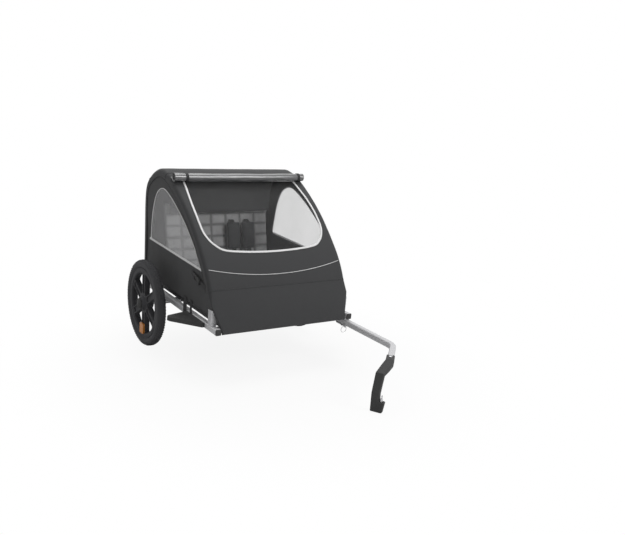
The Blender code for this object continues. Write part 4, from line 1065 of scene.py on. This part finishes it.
class TRAILER_OT_rain_roll(bpy.types.Operator):
    """Makes the rolled-up rain cover as one spiral sheet, with the straps that hold it"""
    bl_idname = "trailer.rain_roll"
    bl_label = "Rain roll"

    def execute(self, context):
        p, inward = front_at(ROLL_Z)
        along = Vector((0, -inward.z, inward.y))

        def axis(x):
            return p + Vector((x, 0, 0)) + inward * (sag_at(p, x) - ROLL_R * 1.04 - 0.0012)

        steps, columns, tail, core = 22, 60, 9, 0.0035
        wound = ROLL_TURNS * steps
        rows = []
        for i in range(wound + 1 + tail):
            a = 2 * math.pi * min(i, wound) / steps - math.pi / 2
            r = core + (ROLL_R - core) * min(1.0, i / wound)
            ahead = 0.0035 * max(0, i - wound)
            row = []
            for k in range(columns + 1):
                x = -ROLL_HALF + 2 * ROLL_HALF * k / columns
                spot = Vector((x * 9, math.cos(a), math.sin(a)))
                slack = 1 + 0.055 * noise.noise(spot) + 0.03 * noise.noise(spot * 2.3 + Vector((4, 1, 2)))
                slack -= 0.07 * math.exp(-(min(abs(x - t) for t in TIES) / 0.014) ** 2)
                way = along * math.cos(a) - inward * math.sin(a)
                row.append(body_point(axis(x) + way * (r * slack) + along * ahead))
            rows.append(row)
        roll = keep(settle(sheet_of("rain_roll", rows, 0.0006), 60), rolled_vinyl(),
                    nodes=("rain_cover_roll",))
        ways = [along * math.cos(a) - inward * math.sin(a) for a in (2 * math.pi * k / 28 for k in range(28))]
        outs = [BODY.to_3x3() @ way for way in ways]
        for word, x in zip(("right", "left"), TIES):
            line = [body_point(axis(x) + way * (ROLL_R * 0.985)) for way in ways]
            ribbon("roll_tie_" + word, line, outs, 0.013, 0.0014, webbing("X"), closed=True)
        return {"FINISHED"}


class TRAILER_OT_floor(bpy.types.Operator):
    """Makes the floor sheet and the webbing loops that hold the hem to the rails"""
    bl_idname = "trailer.floor"
    bl_label = "Floor and loops"

    def execute(self, context):
        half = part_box("floor")[1].x
        fore, aft = FLOOR_ENDS
        rows = []
        for i in range(48):
            y = fore + (aft - fore) * i / 47
            row = []
            for k in range(41):
                x = -half + 2 * half * k / 40
                sag = 0.004 * math.sin(math.pi * i / 47) * (1 - (x / half) ** 2)
                wave = 0.0006 * noise.noise(Vector((x, y, 0)) * 14)
                row.append(body_point((x, y, FLOOR_TOP - 0.0004 - sag + wave)))
            rows.append(row)
        floor = settle(sheet_of("floor_sheet", rows, 0.0016, False))
        keep(floor, coated_cloth(), nodes=("floor",))
        declare_sheet(floor, (2 * half, aft - fore))
        for side, word in ((1, "left"), (-1, "right")):
            out, inside = HALF + 0.0013, 2 * RAIL_X - HALF - 0.0013
            path = [(out + 0.0012, HEM_Z + 0.014), (out, RAIL_TOP), (out, RAIL_LOW + 0.002),
                    (out - 0.003, RAIL_LOW - 0.0013), (inside + 0.003, RAIL_LOW - 0.0013),
                    (inside, RAIL_LOW + 0.002), (inside, RAIL_TOP - 0.003)]
            centre = Vector((side * RAIL_X, LOOP_Y, (RAIL_LOW + RAIL_TOP) / 2))
            line = [Vector((side * x, LOOP_Y, z)) for x, z in path]
            outs = [BODY.to_3x3() @ (Vector((side, 0, 0)) if p.z > RAIL_TOP - 0.001 and abs(p.x) > RAIL_X
                                     else (p - centre)) for p in line]
            line = [body_point(p) for p in line]
            strap = ribbon("hem_strap_" + word, line, outs, 0.036, 0.0014, webbing("Z"))
            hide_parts("hem_loop_" + word)
            shift = BODY.to_3x3() @ Vector((0, -0.060, 0))
            ribbon("hem_strap_fore_" + word, [p + shift for p in line], outs, 0.020, 0.0014, webbing("Z"))
        return {"FINISHED"}


# Tyres


def tread_row(centre, size, place, turn, count):
    """A ring of like tread blocks round the wheel's axis: one block is modelled, then carried round."""
    bpy.ops.mesh.primitive_cube_add(size=1, scale=size)
    piece = bpy.context.object
    bpy.ops.object.transform_apply(scale=True)
    with editing(piece, "DESELECT"):
        bpy.ops.mesh.select_mode(type="VERT")
    for v in piece.data.vertices:
        v.select = v.co.z > 0
    with editing(piece, None):
        bpy.ops.transform.resize(value=(0.72, 0.72, 1.0), center_override=(0, 0, size[2] / 2))
    piece.data.transform(Matrix.Translation(centre) @ Matrix.Rotation(turn, 4, "X") @ place)
    with editing(piece):
        bpy.ops.mesh.spin(steps=count - 1, angle=2 * math.pi * (count - 1) / count, center=centre,
                          axis=(1, 0, 0), dupli=True)
    return piece


class TRAILER_OT_tyres(bpy.types.Operator):
    """Makes the tyres with their rows of tread blocks"""
    bl_idname = "trailer.tyres"
    bl_label = "Tyres"

    def execute(self, context):
        knob = sizes().knob
        crown = WHEEL_R - knob
        outer = smooth_line([(x, r, 0) for x, r in TYRE_OUTER] + [(0, crown, 0)], 0.0022)
        outer = [(p.x, p.y) for p in outer]
        section = [(-x, r) for x, r in outer] + [(x, r) for x, r in reversed(outer[:-1])]
        section += [(x, r) for x, r in TYRE_INNER] + [(-x, r) for x, r in reversed(TYRE_INNER)]
        for side, word in ((1, "left"), (-1, "right")):
            centre = Vector((side * WHEEL_X, AXLE.y, AXLE.z))
            bpy.ops.mesh.primitive_circle_add(vertices=len(section), radius=0.1)
            tyre = context.object
            tyre.name = "tyre_" + word + "_tread"
            for v, (x, r) in zip(tyre.data.vertices, section):
                v.co = centre + Vector((x, 0, r))
            with editing(tyre):
                bpy.ops.mesh.spin(steps=TYRE_STEPS, angle=2 * math.pi, center=centre, axis=(1, 0, 0))
                bpy.ops.mesh.select_all(action="SELECT")
                bpy.ops.mesh.remove_doubles(threshold=0.00001)
                bpy.ops.mesh.normals_make_consistent(inside=False)
            parts = [tyre]
            for out, wide, long, shift in TREAD_ROWS:
                near = min(range(1, len(outer)), key=lambda i: abs(outer[i][0] - abs(out)))
                (x0, r0), (x1, r1) = outer[near - 1], outer[min(near + 1, len(outer) - 1)]
                lean = math.copysign(math.atan2(r1 - r0, x0 - x1), out) if out else 0.0
                radius = outer[near][1] if out else crown
                for k, skew in ((0, -0.25), (1, 0.25)):
                    place = (Matrix.Translation((out, 0, radius)) @ Matrix.Rotation(lean, 4, "Y")
                             @ Matrix.Rotation(skew, 4, "Z"))
                    turn = 2 * math.pi * (k + shift) / TREAD_BLOCKS
                    size = wide, 2 * long, 2 * knob
                    parts.append(tread_row(centre, size, place, turn, TREAD_BLOCKS // 2))
            bpy.ops.object.select_all(action="DESELECT")
            for part in parts:
                part.select_set(True)
            context.view_layer.objects.active = tyre
            bpy.ops.object.join()
            keep(settle(tyre, 35), tyre_rubber(), "wheel_" + word, ["tyre_" + word])
        return {"FINISHED"}


# Rigid pieces


class TRAILER_OT_rigid(bpy.types.Operator):
    """Rounds the edges of the rigid nodes and paints them"""
    bl_idname = "trailer.rigid"
    bl_label = "Rigid pieces"

    def execute(self, context):
        for name, node in frame["nodes"].items():
            finish = FINISHES.get(SLOTS[name])
            if finish is None or name.startswith("tyre"):
                continue
            piece = node.copy()
            piece.data = node.data.copy()
            piece.name = name + "_finished"
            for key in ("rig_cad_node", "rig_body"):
                del piece[key]
            piece.parent = None
            context.scene.collection.objects.link(piece)
            with editing(piece):
                bpy.ops.mesh.customdata_custom_splitnormals_clear()
                bpy.ops.mesh.remove_doubles(threshold=0.000005)
                bpy.ops.mesh.dissolve_limited(angle_limit=math.radians(0.5))
                bpy.ops.mesh.select_all(action="DESELECT")
            if name == "coupler":
                for v in piece.data.vertices:
                    v.select = (v.co - KNEE).length < KNEE_REACH
                with editing(piece, None):
                    bpy.ops.mesh.select_mode(type="VERT")
                    bpy.ops.mesh.duplicate()
                    bpy.ops.mesh.convex_hull(delete_unused=True, use_existing_faces=False)
                apply(piece, "REMESH", mode="VOXEL", voxel_size=0.0013)
                apply(piece, "SMOOTH", factor=0.5, iterations=16)
            elif name.startswith("spoke_reflector"):
                middle = sum((v.co for v in piece.data.vertices), Vector()) / len(piece.data.vertices)
                with editing(piece):
                    bpy.ops.transform.resize(value=(1.0, 2.3, 1.33), center_override=middle)
            elif name.startswith(("mag_wheel", "wheel_guard")):
                bevel(piece, 0.0012 if name.startswith("mag") else 0.0045, 3, 45)
            keep(settle(piece, 38), finish(), node["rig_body"], [name])
        return {"FINISHED"}


OPERATORS = [TRAILER_OT_rigid, TRAILER_OT_canopy, TRAILER_OT_front_panel, TRAILER_OT_side_cloth,
             TRAILER_OT_seat, TRAILER_OT_rain_roll, TRAILER_OT_floor, TRAILER_OT_tyres, TRAILER_OT_stage]


class TRAILER_PT_pieces(bpy.types.Panel):
    """Lists the pieces of the trailer"""
    bl_idname = "TRAILER_PT_pieces"
    bl_label = "Bicycle trailer"
    bl_space_type = "VIEW_3D"
    bl_region_type = "UI"
    bl_category = "Trailer"

    def draw(self, context):
        for group in (context.scene.trailer_sizes, context.scene.trailer_colours):
            for name in group.__annotations__:
                self.layout.prop(group, name)
        for operator in OPERATORS:
            self.layout.operator(operator.bl_idname)


def register():
    for item in (Sizes, Colours, *OPERATORS, TRAILER_PT_pieces):
        bpy.utils.register_class(item)
    bpy.types.Scene.trailer_sizes = PointerProperty(type=Sizes)
    bpy.types.Scene.trailer_colours = PointerProperty(type=Colours)


def unregister():
    del bpy.types.Scene.trailer_sizes, bpy.types.Scene.trailer_colours
    for item in (Sizes, Colours, *OPERATORS, TRAILER_PT_pieces):
        bpy.utils.unregister_class(item)


def main():
    register()
    for operator in OPERATORS:
        getattr(bpy.ops.trailer, operator.bl_idname.split(".")[1])()


if __name__ == "__main__":
    main()
